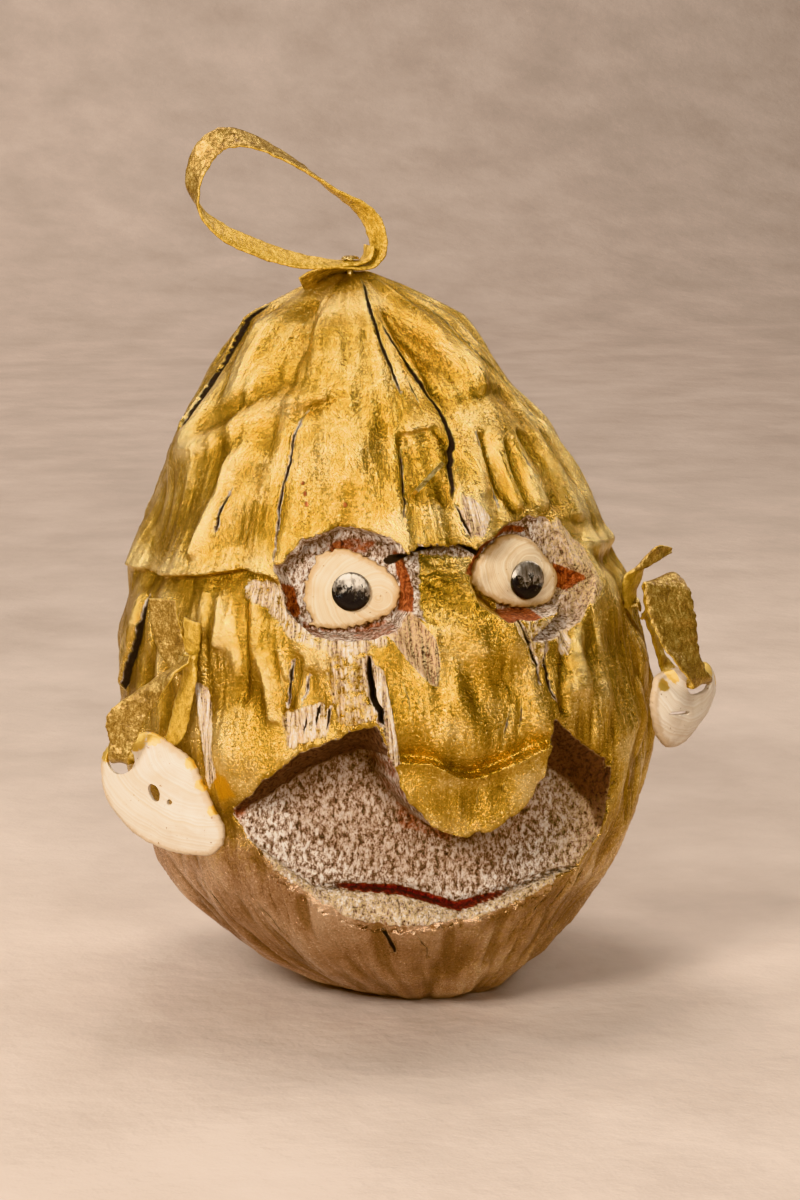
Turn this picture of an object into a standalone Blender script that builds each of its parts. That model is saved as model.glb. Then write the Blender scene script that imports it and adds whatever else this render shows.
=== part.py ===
"""A carved head made from a whole coconut in its husk, with shell eyes, ears and a leather hanging loop.

Millimetres in the constants, metres in the scene. +Z is up, the face looks along -Y, and the
origin is the centre of the sawn base. Left and right are the figure's own, so its left is +X.
"""

import math

import bmesh
import bpy
from mathutils import Matrix, Vector

MM = 0.001
COLLECTION = "carved_coconut_head"

# Husk: height and radius of each ring, from the sawn base to the stem tip.
PROFILE = [
    (0, 28), (5, 39), (14, 52), (24, 62), (34, 70), (47, 79), (64, 87),
    (82, 91), (99, 92), (117, 90.5), (134, 87.5), (148, 83.5), (162, 78),
    (173, 73.5), (185, 68), (197, 61), (209, 52), (221.6, 43), (232, 34),
    (243, 15), (247.5, 5),
]
AXIS = [(0, 0), (8, -3), (20, -7), (36, -9.5), (60, -9.5), (100, -9.5), (150, -13.2), (247.5, -21.8)]
LOBE = 0.012
# How far the pleats under the stem push the section out or in, as (angle from the front, share of the radius).
PLEATS = [
    (-180, -0.05), (-158, 0.06), (-132, -0.05), (-107, 0.06), (-92, 0.06), (-66, 0.04), (-44, -0.07), (-25, 0.06),
    (0, 0.01), (17, -0.06), (30, 0.05), (50, 0.0), (75, -0.05), (98, 0.06), (124, -0.06), (150, 0.06), (180, -0.05),
]
PLEAT_START = 175
SEGMENTS = 52

# Carving. Outlines are (x, z) as seen from the front, and a floor is y at a given x and z.
CARVE_FRONT = -98
MOUTH_FLOOR = (-74.7, -0.09, 0.161)
BRIDGE_FLOOR = (-189.3, 0.0, 0.74)
SOCKET_BACK_GAP = 3.4

# Eyes: plate centre, the way it faces, width, height, and the pupil's place on it.
RIGHT_EYE = {"centre": (-40, -68, 151.3), "faces": (-0.37, -0.93, 0.05), "size": (31.5, 26.5), "pupil": (0.2, -1.6)}
LEFT_EYE = {"centre": (17, -65.5, 152.2), "faces": (0.27, -0.96, 0.05), "size": (31.5, 26), "pupil": (2.3, -1.2)}
PLATE_THICKNESS = 2.4
PLATE_DISH = 0.4
PUPIL_RADIUS = 6.4
PUPIL_HEIGHT = 2.2
SHANK_RADIUS = 1.1
HOLE_RADIUS = 1.4

# Leather.
LOOP_WIDTH = 8
LEATHER = 1.3
EAR_LEATHER = 1.2

# Hanging loop: centre of the strap in the plane through the nail, and how far its width leans.
NAIL = (-24, -5)
LOOP_PATH = [
    (-18.6, 249.2, 0), (-15.4, 252.6, 0.1), (-14.4, 258, 0.2), (-16.4, 264, 0.3),
    (-20.5, 268.9, 0.2), (-29.3, 274.5, -0.1), (-41.6, 283.2, -0.2), (-55.9, 290.6, -0.2),
    (-65.5, 292.4, -0.5), (-71.2, 289.8, -0.5), (-75.0, 284.4, -0.4), (-77.0, 276.6, -0.1),
    (-74.4, 268.4, 0.1), (-67.0, 261.6, 0.2), (-57.4, 257.0, 0.1), (-47.5, 253.4, -0.1),
    (-38.5, 251.4, -0.1), (-29.8, 250.6, 0),
]
TAIL_PATH = [
    (-40.6, 243.2, 0.35), (-37.4, 245.6, 0.3), (-33.5, 247.7, 0.1), (-29, 248.6, 0),
    (-24, 248.8, 0), (-19.7, 248.9, 0),
]
END_PATH = [(-28.6, 250.7, 0), (-24, 250.7, 0), (-20.4, 250.8, 0), (-18.2, 252.8, 0.1), (-17.4, 256.4, 0.1)]

# Ears: nail place on the husk as (angle from the front, height).
RIGHT_EAR_NAIL = (-60, 126)
LEFT_EAR_NAIL = (66, 135)
NAIL_OUT = 0.7
TAB_FORK = [
    (-3.4, -4.2), (3.4, -4.2), (4.2, 1.5), (9.6, 12.5), (3.6, 14.6), (0, 5.5), (-4.6, 19.5), (-13.2, 16.5),
    (-4.2, 1.5),
]

# Outlines are (x, y) on the plane the shell faces out of.
RIGHT_SHELL = {
    "centre": (-96.2, -43.9, 80.6), "faces": (-0.6, -0.78, 0.1),
    "outline": [
        (-24, 12.5), (-24.4, 4.5), (-21.5, -3.5), (-15.5, -10.5), (-8, -15), (1.5, -18), (12, -18.5), (17, -17.5),
        (20, -14.5), (21, -11), (20, -7), (15.5, 0), (11.5, 8), (7.5, 13.5), (0, 17.5), (-6, 20.5), (-11, 21), (-18, 18),
    ],
    "strap_hole": (-16.2, 10.8), "strap_hole_size": (5.2, 4.0), "hole": (-0.5, -1.0), "hole_size": (1.9, 2.9),
}
LEFT_SHELL = {
    "centre": (82.4, -43.4, 102.8), "faces": (0.6, -0.78, 0.0),
    "outline": [
        (-17.5, 6.5), (-15.5, 10.5), (-10, 11.5), (1, 11.8), (14, 11.3), (19.5, 8), (21.5, 1.5), (20, -3), (14, -8.5),
        (3, -15), (-5.5, -15.5), (-12, -12), (-16, -6.5), (-18, 0),
    ],
    "strap_hole": (5.0, 5.4), "strap_hole_size": (7.4, 3.4), "hole": (1.0, -3.4), "hole_size": (3.4, 0.9),
}
SHELL_THICKNESS = 5.0
SHELL_DISH = 3.0

# Ear loops: (x, y, z) of the strap's centre, then the direction across it and its width.
RIGHT_EAR_LOOP = [
    (-91.4, -49.8, 125.2, 0.40, -0.88, 0.20, 6),
    (-95.3, -49.9, 122.9, 0.38, -0.88, 0.25, 8),
    (-99.3, -48.4, 118.9, 0.62, -0.74, 0.25, 11),
    (-104.5, -45.7, 114.0, 0.86, -0.48, 0.15, 13),
    (-108.1, -43.6, 109.1, 0.95, -0.30, 0.00, 13),
    (-109.6, -42.7, 104.4, 0.93, -0.36, 0.00, 11.5),
    (-110.0, -42.4, 100.0, 0.86, -0.50, 0.00, 9.4),
    (-111.4, -41.8, 94.0, 0.80, -0.60, 0.00, 8),
    (-109.2, -34.9, 91.4, 0.79, -0.61, 0.00, 7.8),
    (-106.0, -30.4, 91.0, 0.76, -0.64, 0.00, 7.6),
    (-101.6, -31.0, 93.6, 0.62, -0.76, 0.00, 7.2),
    (-94.0, -39.9, 97.9, 0.50, -0.85, 0.05, 6.6),
    (-92.0, -43.6, 105.2, 0.47, -0.87, 0.10, 6.2),
    (-90.7, -46.1, 113.0, 0.45, -0.88, 0.10, 6),
    (-89.4, -48.4, 120.6, 0.45, -0.88, 0.10, 6),
]
LEFT_EAR_LOOP = [
    (71.4, -38.6, 134.0, 0.45, 0.88, 0.00, 7),
    (70.6, -40.5, 139.7, 0.50, 0.84, 0.05, 8),
    (72.1, -43.1, 143.9, 0.62, 0.76, 0.05, 10.5),
    (74.7, -44.9, 145.1, 0.80, 0.58, 0.00, 13),
    (76.6, -46.6, 141.8, 0.90, 0.42, 0.00, 14),
    (77.9, -48.1, 136.6, 0.92, 0.36, 0.00, 14),
    (79.1, -49.1, 130.2, 0.90, 0.40, 0.00, 13.6),
    (80.3, -50.1, 123.5, 0.86, 0.48, 0.00, 13),
    (81.1, -50.9, 118.4, 0.81, 0.57, 0.00, 12.4),
    (84.6, -49.9, 113.2, 0.80, 0.60, 0.00, 12),
    (88.4, -46.2, 109.6, 0.79, 0.61, 0.00, 11.8),
    (87.7, -41.6, 108.3, 0.79, 0.61, 0.00, 11.6),
    (84.6, -37.2, 108.4, 0.79, 0.61, 0.00, 11.2),
    (81.4, -34.2, 111.6, 0.72, 0.68, 0.00, 9.6),
    (77.6, -34.8, 118.5, 0.55, 0.82, 0.00, 7.6),
    (73.6, -36.4, 127.6, 0.45, 0.88, 0.00, 6),
]

# Points that the moving pieces turn about.
LOOP_PIVOT = (-18.5, -5, 249.8)
EAR_PIVOTS = {"right": (-88.5, -45.5, 125.5), "left": (68.5, -36, 134.5)}
LOBE_PIVOTS = {"right": (-109, -34.4, 91.4), "left": (87.8, -41.7, 108.5)}

# Staple in the brow, with a standard 12.8 mm crown.
STAPLE_ENDS = ((-2.5, 182), (6.8, 190))
STAPLE_WIRE = 1.3
STAPLE_LEG = 9


def clear_scene():
    for old in list(bpy.data.objects):
        bpy.data.objects.remove(old, do_unlink=True)


def make_collection(name):
    made = bpy.data.collections.new(name)
    bpy.context.scene.collection.children.link(made)
    return made


def material(name, colour, roughness, metallic=0.0):
    made = bpy.data.materials.new(name)
    made.use_nodes = True
    shader = made.node_tree.nodes["Principled BSDF"]
    shader.inputs["Base Color"].default_value = (*colour, 1)
    shader.inputs["Roughness"].default_value = roughness
    shader.inputs["Metallic"].default_value = metallic
    made.diffuse_color = (*colour, 1)
    return made


def new_object(name, bm, place, colour=None, smooth=False):
    """The mesh in bm as an object, with its faces turned outwards."""
    bmesh.ops.recalc_face_normals(bm, faces=bm.faces)
    mesh = bpy.data.meshes.new(name)
    bm.to_mesh(mesh)
    bm.free()
    if smooth:
        for face in mesh.polygons:
            face.use_smooth = True
    made = bpy.data.objects.new(name, mesh)
    place.objects.link(made)
    if colour:
        mesh.materials.append(colour)
    return made


def hang_from(moving, pivot):
    """Puts the object's origin at the point it turns about, and leaves its shape where it is."""
    place = Vector(pivot) * MM
    moving.data.transform(Matrix.Translation(-place))
    moving.location = place


def cutter_object(name, bm):
    made = new_object(name, bm, cutters)
    made.hide_render = True
    made.display_type = "WIRE"
    return made


def boolean(target, other, operation="DIFFERENCE"):
    modifier = target.modifiers.new(operation.lower(), "BOOLEAN")
    modifier.operation = operation
    modifier.solver = "EXACT"
    modifier.object = other


def catmull_rom(points, steps):
    """The points with steps - 1 more between each pair, on a smooth curve through them."""
    made = []
    last = len(points) - 1
    for i in range(last):
        before, a, b, after = (points[max(i - 1, 0)], points[i], points[i + 1], points[min(i + 2, last)])
        for step in range(steps):
            t = step / steps
            made.append(tuple(
                0.5 * (2 * q + (r - p) * t + (2 * p - 5 * q + 4 * r - s) * t ** 2 + (3 * q - p - 3 * r + s) * t ** 3)
                for p, q, r, s in zip(before, a, b, after)
            ))
    made.append(tuple(points[last]))
    return made


def value_at(table, place):
    """The second number of the table's pairs, read at this place among the first ones."""
    place = min(max(place, table[0][0]), table[-1][0])
    for (low, near), (high, far) in zip(table, table[1:]):
        if place <= high:
            return near + (far - near) * (place - low) / (high - low)
    return table[-1][1]


def swell(angle, z):
    """How much the section at this height is pushed out by the husk's three lobes and its pleats."""
    lobes = LOBE * math.cos(3 * angle)
    near_stem = min(max((z - PLEAT_START) / 60, 0), 1)
    return 1 + lobes + near_stem * value_at(PLEATS, math.degrees(angle))


def husk_point(angle_degrees, z, out=0.0):
    """A point on the husk, in metres, lifted off the surface by out millimetres."""
    angle = math.radians(angle_degrees)
    radius = value_at(PROFILE, z) * swell(angle, z) + out
    return Vector((value_at(AXIS, z) + radius * math.sin(angle), -radius * math.cos(angle), z)) * MM


def husk_normal(angle_degrees, z):
    across = husk_point(angle_degrees + 2, z) - husk_point(angle_degrees - 2, z)
    upward = husk_point(angle_degrees, z + 4) - husk_point(angle_degrees, z - 4)
    return across.cross(upward).normalized()


def frame_at(origin, faces, up=(0, 0, 1)):
    """A matrix whose Z faces out of a surface and whose Y runs as near to up as it can."""
    z_axis = Vector(faces).normalized()
    x_axis = Vector(up).cross(z_axis).normalized()
    y_axis = z_axis.cross(x_axis)
    turned = Matrix((x_axis, y_axis, z_axis)).transposed().to_4x4()
    return Matrix.Translation(origin) @ turned


def make_husk():
    rings = catmull_rom(PROFILE, 2)
    bm = bmesh.new()
    count = len(rings) + 1
    bmesh.ops.create_uvsphere(bm, u_segments=SEGMENTS, v_segments=count, radius=1)
    for vert in bm.verts:
        ring = round(math.acos(max(-1, min(1, vert.co.z))) * count / math.pi)
        if ring in (0, count):
            z = rings[-1][0] if ring == 0 else rings[0][0]
            vert.co = Vector((value_at(AXIS, z), 0, z)) * MM
            continue
        z, radius = rings[-ring]
        angle = math.atan2(vert.co.x, -vert.co.y)
        radius *= swell(angle, z)
        vert.co = Vector((value_at(AXIS, z) + radius * math.sin(angle), -radius * math.cos(angle), z)) * MM
    return new_object("husk", bm, parts, gold_husk, smooth=True)


def slanted(floor):
    base, per_x, per_z = floor
    return lambda x, z: base + per_x * x + per_z * z


def facing_floor(centre, faces, behind):
    """The floor parallel to a plate, this far behind its middle."""
    normal = Vector(faces).normalized()
    point = Vector(centre) - normal * behind
    return lambda x, z: point.y - ((x - point.x) * normal.x + (z - point.z) * normal.z) / normal.y


def carve(name, outline, floor, narrowed=None):
    """A cutter with this outline at the front and, on its floor, the same outline or the narrowed one."""
    bm = bmesh.new()
    face = bm.faces.new([bm.verts.new((x * MM, CARVE_FRONT * MM, z * MM)) for x, z in outline])
    deep = bmesh.ops.extrude_face_region(bm, geom=[face])["geom"]
    for vert in (item for item in deep if isinstance(item, bmesh.types.BMVert)):
        place = (vert.co.x / MM, vert.co.z / MM)
        index = min(range(len(outline)), key=lambda i: math.dist(place, outline[i]))
        x, z = (narrowed or outline)[index]
        vert.co = Vector((x, floor(x, z), z)) * MM
    return cutter_object(name, bm)


def strip_outline(centre_line, half):
    """A thin closed outline around a line of (x, z) points, tapering to its ends."""
    upper, lower = [], []
    last = len(centre_line) - 1
    for i, point in enumerate(centre_line):
        before = centre_line[max(i - 1, 0)]
        after = centre_line[min(i + 1, last)]
        along = Vector((after[0] - before[0], after[1] - before[1])).normalized()
        width = half * (0.35 if i in (0, last) else 1)
        upper.append((point[0] - along.y * width, point[1] + along.x * width))
        lower.append((point[0] + along.y * width, point[1] - along.x * width))
    return upper + lower[::-1]


def rod(name, matrix, radius, low, high, colour=None, segments=16):
    """A cylinder along the matrix's Z from low to high. It's a cutter when it has no colour."""
    bm = bmesh.new()
    bmesh.ops.create_cone(
        bm, cap_ends=True, segments=segments, radius1=radius * MM, radius2=radius * MM, depth=(high - low) * MM,
        matrix=matrix @ Matrix.Translation((0, 0, (high + low) / 2 * MM)),
    )
    if colour:
        return new_object(name, bm, parts, colour)
    return cutter_object(name, bm)


def pin(name, matrix, head_radius, head_height, shank_length, shank_radius, colour):
    """A tack: a domed head standing on the matrix's XY plane, with its shank below."""
    profile = [
        (0, head_height), (head_radius * 0.62, head_height * 0.86), (head_radius * 0.93, head_height * 0.5),
        (head_radius, 0.25), (head_radius, 0), (shank_radius, 0), (shank_radius, 1.2 - shank_length), (0, -shank_length),
    ]
    bm = bmesh.new()
    verts = [bm.verts.new((radius * MM, 0, z * MM)) for radius, z in profile]
    edges = [bm.edges.new(pair) for pair in zip(verts, verts[1:])]
    bmesh.ops.spin(
        bm, geom=verts + edges, cent=(0, 0, 0), axis=(0, 0, 1), angle=2 * math.pi, steps=20, use_merge=True,
    )
    bmesh.ops.remove_doubles(bm, verts=bm.verts, dist=0.00001)
    bm.transform(matrix)
    return new_object(name, bm, parts, colour, smooth=True)


def ribbon(name, stations, thickness, colour, between=3):
    """A flat strap: each station is its centre (x, y, z), its direction across and its width."""
    stations = catmull_rom(stations, between)
    rows = len(stations)
    bm = bmesh.new()
    bmesh.ops.create_grid(bm, x_segments=rows - 1, y_segments=1, size=1)
    for vert in bm.verts:
        x, y, z, ax, ay, az, width = stations[round((vert.co.x + 1) / 2 * (rows - 1))]
        across = Vector((ax, ay, az)).normalized() * width / 2
        vert.co = (Vector((x, y, z)) + across * (1 if vert.co.y > 0 else -1)) * MM
    made = new_object(name, bm, parts, colour)
    solid = made.modifiers.new("leather", "SOLIDIFY")
    solid.thickness = thickness * MM
    solid.offset = 0
    solid.use_even_offset = True
    return made


def loop_stations(path):
    return [(x, NAIL[1], z, lean * 0.6, -1, lean, LOOP_WIDTH) for x, z, lean in path]


def uneven_ellipse(size, turn, chip):
    """An ellipse's outline with shallow waves, as (x, y) points."""
    made = []
    lean = math.radians(turn)
    for step in range(36):
        angle = math.radians(10 * step)
        reach = 1 + chip * math.cos(3 * angle + 0.7) + 0.5 * chip * math.cos(5 * angle)
        x = math.cos(angle) * reach * size[0] / 2
        y = math.sin(angle) * reach * size[1] / 2
        made.append((x * math.cos(lean) - y * math.sin(lean), x * math.sin(lean) + y * math.cos(lean)))
    return made


def outline_reach(outline, angle):
    """How far the outline lies from its origin in this direction."""
    way = Vector((math.cos(angle), math.sin(angle)))
    for a, b in zip(outline, outline[1:] + outline[:1]):
        start = Vector(a)
        side = Vector(b) - start
        turn = way.x * side.y - way.y * side.x
        if abs(turn) < 1e-9:
            continue
        reach = (start.x * side.y - start.y * side.x) / turn
        share = (start.x * way.y - start.y * way.x) / turn
        if reach > 0 and -1e-6 <= share <= 1 + 1e-6:
            return reach
    return 0


def lens(name, matrix, outline, thickness, dish, colour, segments=36):
    """A thin lens with this outline, whose middle stands forward of its rim by dish."""
    bm = bmesh.new()
    bmesh.ops.create_uvsphere(bm, u_segments=segments, v_segments=10, radius=1)
    for vert in bm.verts:
        flat = min(math.hypot(vert.co.x, vert.co.y), 1.0)
        angle = math.atan2(vert.co.y, vert.co.x)
        reach = flat ** 0.8 * outline_reach(outline, angle)
        z = vert.co.z * thickness / 2 + dish * (1 - flat ** 2)
        vert.co = Vector((math.cos(angle) * reach, math.sin(angle) * reach, z)) * MM
    bm.transform(matrix)
    return new_object(name, bm, parts, colour, smooth=True)


def hole(target, matrix, place, size, reach=14):
    """An oval hole through the target along the matrix's Z."""
    bm = bmesh.new()
    bmesh.ops.create_cone(bm, cap_ends=True, segments=20, radius1=MM, radius2=MM, depth=2 * reach * MM)
    bm.transform(Matrix.Diagonal((size[0], size[1], 1, 1)))
    bm.transform(matrix @ Matrix.Translation((place[0] * MM, place[1] * MM, 0)))
    boolean(target, cutter_object(target.name + "_hole", bm))


def make_eye(side, eye, husk):
    matrix = frame_at(Vector(eye["centre"]) * MM, eye["faces"])
    outline = uneven_ellipse(eye["size"], 8, 0.035)
    plate = lens("eye_plate_" + side, matrix, outline, PLATE_THICKNESS, PLATE_DISH, ivory, segments=28)
    px, py = eye["pupil"]
    seat = matrix @ Matrix.Translation((px * MM, py * MM, 0))
    hole(plate, matrix, eye["pupil"], (HOLE_RADIUS, HOLE_RADIUS))
    front = seat @ Matrix.Translation((0, 0, (PLATE_THICKNESS / 2 + PLATE_DISH + 0.3) * MM))
    pin("pupil_" + side, front, PUPIL_RADIUS, PUPIL_HEIGHT, 16, SHANK_RADIUS, black)
    boolean(husk, rod("shank_bore_" + side, seat, HOLE_RADIUS, -17, 1))


def fork_object(name, matrix, outline, thickness, colour):
    """A flat forked tab of leather, cut from its outline and standing on the matrix's XY plane."""
    curve = bpy.data.curves.new(name, "CURVE")
    curve.dimensions = "2D"
    curve.fill_mode = "BOTH"
    curve.extrude = thickness / 2 * MM
    spline = curve.splines.new("POLY")
    spline.points.add(len(outline) - 1)
    for point, (x, y) in zip(spline.points, outline):
        point.co = (x * MM, y * MM, 0, 1)
    spline.use_cyclic_u = True
    holder = bpy.data.objects.new(name + "_outline", curve)
    bpy.context.scene.collection.objects.link(holder)
    bpy.context.view_layer.update()
    graph = bpy.context.evaluated_depsgraph_get()
    mesh = bpy.data.meshes.new_from_object(holder.evaluated_get(graph))
    bpy.data.objects.remove(holder, do_unlink=True)
    bm = bmesh.new()
    bm.from_mesh(mesh)
    bpy.data.meshes.remove(mesh)
    bmesh.ops.remove_doubles(bm, verts=bm.verts, dist=0.000001)
    bm.transform(matrix)
    return new_object(name, bm, parts, colour)


def make_ear(side, nail, stations, shell, husk):
    angle, z = nail
    normal = husk_normal(angle, z)
    seat = frame_at(husk_point(angle, z, NAIL_OUT), normal)
    mirrored = Matrix.Scale(-1, 4, (1, 0, 0)) if side == "left" else Matrix()
    middle = seat @ Matrix.Translation((0, 0, EAR_LEATHER / 2 * MM))
    tab = fork_object("ear_tab_" + side, middle @ mirrored, TAB_FORK, EAR_LEATHER, leather_gold)
    hole(tab, seat, (0, 0), (HOLE_RADIUS, HOLE_RADIUS), reach=4)
    head = seat @ Matrix.Translation((0, 0, (EAR_LEATHER + 0.3) * MM))
    pin("ear_nail_" + side, head, 2.6, 1.0, 15, SHANK_RADIUS, steel)
    boolean(husk, rod("ear_bore_" + side, seat, HOLE_RADIUS, -16, 2))
    strap = ribbon("ear_loop_" + side, stations, EAR_LEATHER, leather_gold, between=2)
    hang_from(strap, EAR_PIVOTS[side])
    matrix = frame_at(Vector(shell["centre"]) * MM, shell["faces"])
    made = lens("ear_shell_" + side, matrix, shell["outline"], SHELL_THICKNESS, SHELL_DISH, shell_white)
    hole(made, matrix, shell["strap_hole"], shell["strap_hole_size"])
    hole(made, matrix, shell["hole"], shell["hole_size"])
    hang_from(made, LOBE_PIVOTS[side])


def make_hanging_loop(husk):
    seat = Matrix.Translation(Vector((NAIL[0], NAIL[1], 252.0)) * MM)
    strap = ribbon("hanging_loop", loop_stations(LOOP_PATH), LEATHER, leather_gold)
    hang_from(strap, LOOP_PIVOT)
    tail = ribbon("loop_tail", loop_stations(TAIL_PATH), LEATHER, leather_gold, between=2)
    end = ribbon("loop_end", loop_stations(END_PATH), LEATHER, leather_gold, between=2)
    for piece in (tail, end):
        hole(piece, seat, (0, 0), (HOLE_RADIUS, HOLE_RADIUS))
    pin("loop_nail", seat, 3.0, 1.2, 24, SHANK_RADIUS, steel)
    boolean(husk, rod("loop_bore", seat, HOLE_RADIUS, -25.5, 2))


def box_between(matrix, low, high):
    bm = bmesh.new()
    size = [(b - a) * MM for a, b in zip(low, high)]
    middle = [(b + a) / 2 * MM for a, b in zip(low, high)]
    bmesh.ops.create_cube(bm, size=1)
    bm.transform(Matrix.Diagonal((*size, 1)))
    bm.transform(matrix @ Matrix.Translation(middle))
    return bm


def make_staple(husk):
    """A staple driven into the brow: its crown stands just off the skin and its legs go into bores."""
    first = husk_point(*STAPLE_ENDS[0], 0.5)
    second = husk_point(*STAPLE_ENDS[1], 0.5)
    normal = (husk_normal(*STAPLE_ENDS[0]) + husk_normal(*STAPLE_ENDS[1])).normalized()
    matrix = frame_at((first + second) / 2, normal, up=(second - first).normalized())
    half = (second - first).length / MM / 2
    wide = STAPLE_WIRE / 2
    thin = STAPLE_WIRE * 0.6
    staple = new_object("brow_staple", box_between(matrix, (-wide, -half, 0.4), (wide, half, 0.4 + thin)), parts, steel)
    inset = 0.05
    for i, (low, high) in enumerate(((inset - half, inset - half + thin), (half - inset - thin, half - inset))):
        leg_box = box_between(matrix, (inset - wide, low, -STAPLE_LEG), (wide - inset, high, 0.8))
        boolean(staple, cutter_object(f"staple_leg_{i}", leg_box), "UNION")
        bore = box_between(matrix, (-wide - 0.3, low - 0.3, -STAPLE_LEG - 0.4), (wide + 0.3, high + 0.3, 4))
        boolean(husk, cutter_object(f"staple_bore_{i}", bore))


def carve_face(husk):
    mouth = [
        (-80, 74), (-70, 90), (-59, 100), (-47, 107), (-37, 111), (-33.5, 103), (-31, 96), (-27.5, 86),
        (-18, 76), (-8.5, 72), (3, 75), (13, 81), (19, 90), (21.5, 99), (23, 110), (31.5, 101.4), (40.6, 95.3),
        (46.5, 91), (50, 84.5), (51, 77), (50, 68.5), (47, 59), (37, 52), (22.5, 45), (9, 40), (-3, 38.5),
        (-15, 37.5), (-31.5, 36), (-43, 41), (-56, 49), (-70, 60),
    ]
    narrowed = list(mouth)
    narrowed[1:5] = [(-67, 81), (-54, 89.5), (-41, 95.5), (-32.5, 99.5)]
    narrowed[14:22] = [(22.5, 94), (27, 89), (33, 84.5), (37, 81), (40.5, 76), (43, 71), (44.8, 64), (44, 57.5)]
    boolean(husk, carve("mouth_cut", mouth, slanted(MOUTH_FLOOR), narrowed))
    slit = [(-50, 51.4), (-41, 50.9), (-23, 48.8), (-4, 42.6), (11, 46.6), (29, 52.8), (39, 54.2)]
    boolean(husk, carve("mouth_slit_cut", strip_outline(slit, 1.2), lambda x, z: -58))
    right_socket = [
        (-64, 158), (-55, 167), (-43, 171.5), (-33, 170.5), (-25, 166), (-21.5, 158), (-22, 148), (-27, 140),
        (-34, 136.8), (-44, 136.2), (-54, 137), (-61, 143.5),
    ]
    left_socket = [
        (-4, 158), (0, 165), (7, 168), (14, 170), (21, 171.5), (28, 170), (36, 162), (38, 155), (42, 149),
        (37, 143), (30, 139.5), (17, 139), (5, 140), (-3, 146), (-5, 152),
    ]
    for side, outline, eye in (("right", right_socket, RIGHT_EYE), ("left", left_socket, LEFT_EYE)):
        floor = facing_floor(eye["centre"], eye["faces"], SOCKET_BACK_GAP)
        boolean(husk, carve("socket_cut_" + side, outline, floor))
    bridge = [(-27, 161), (-20, 165), (-5, 165), (3, 162), (7, 151), (8.5, 142.5), (-5, 141), (-16, 140.5), (-28, 147)]
    boolean(husk, carve("bridge_cut", bridge, slanted(BRIDGE_FLOOR)))
    right_side = [(-35, 139), (-38.4, 131), (-36.4, 118), (-34.6, 106)]
    left_side = [(10.5, 143), (16.5, 131), (20.4, 119), (22.4, 107)]
    boolean(husk, carve("nose_side_cut_right", strip_outline(right_side, 1.2), lambda x, z: -76))
    boolean(husk, carve("nose_side_cut_left", strip_outline(left_side, 1.0), lambda x, z: -74))
    nostrils = [(-31, 98.6), (-18, 98), (-10, 93), (-4, 90.5), (5, 93.5), (14, 99.5), (21, 104.5)]
    boolean(husk, carve("nostril_cut", strip_outline(nostrils, 1.1), lambda x, z: -84))
    split = [
        (-19, 240), (-17.2, 231.8), (-14.8, 222.6), (-8.9, 212.4), (-5.3, 206.2), (-4, 199), (-4.9, 191),
        (-6.6, 178.2), (-4.5, 169),
    ]
    boolean(husk, carve("forehead_split_cut", strip_outline(split, 0.9), lambda x, z: -66 + (z - 170) * 0.62))


def build():
    husk = make_husk()
    carve_face(husk)
    make_eye("right", RIGHT_EYE, husk)
    make_eye("left", LEFT_EYE, husk)
    make_ear("right", RIGHT_EAR_NAIL, RIGHT_EAR_LOOP, RIGHT_SHELL, husk)
    make_ear("left", LEFT_EAR_NAIL, LEFT_EAR_LOOP, LEFT_SHELL, husk)
    make_hanging_loop(husk)
    make_staple(husk)


clear_scene()
parts = make_collection(COLLECTION)
cutters = make_collection("cutters")
gold_husk = material("gold_husk", (0.62, 0.42, 0.14), 0.36, 0.6)
leather_gold = material("leather_gold", (0.45, 0.28, 0.09), 0.55, 0.2)
ivory = material("ivory_shell", (0.86, 0.79, 0.66), 0.45)
shell_white = material("ear_shell", (0.88, 0.80, 0.68), 0.4)
black = material("black_tack", (0.02, 0.02, 0.022), 0.12)
steel = material("gilded_steel", (0.55, 0.45, 0.26), 0.4, 0.9)
build()
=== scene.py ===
"""The looks of a gold-painted carved coconut head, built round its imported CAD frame.

Millimetres in the tables and helpers, metres in the meshes. The face looks along -Y and left
and right are the figure's own. The husk is one field: a lathe-like body with a relief over
(angle, height), less the carving, whose outlines and floors lie over (x, height).
"""

import math

import bpy
import numpy as np
import openvdb
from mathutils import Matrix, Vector


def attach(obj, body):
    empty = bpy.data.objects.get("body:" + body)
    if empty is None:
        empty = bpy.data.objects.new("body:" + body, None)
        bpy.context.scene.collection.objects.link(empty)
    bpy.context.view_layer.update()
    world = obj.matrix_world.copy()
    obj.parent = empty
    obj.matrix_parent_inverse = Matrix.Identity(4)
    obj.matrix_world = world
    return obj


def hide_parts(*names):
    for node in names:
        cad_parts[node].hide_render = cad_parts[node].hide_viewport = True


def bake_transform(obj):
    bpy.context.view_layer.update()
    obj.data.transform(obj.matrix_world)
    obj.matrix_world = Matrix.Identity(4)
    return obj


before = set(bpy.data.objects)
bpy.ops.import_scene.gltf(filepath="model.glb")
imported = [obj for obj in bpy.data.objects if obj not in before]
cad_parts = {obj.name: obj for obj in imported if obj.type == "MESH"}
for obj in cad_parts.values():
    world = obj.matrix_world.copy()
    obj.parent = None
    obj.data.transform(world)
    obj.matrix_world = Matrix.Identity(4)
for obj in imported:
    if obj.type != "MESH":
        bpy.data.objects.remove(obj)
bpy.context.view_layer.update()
MM = 0.001

# ---------------------------------------------------------------- camera

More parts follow.
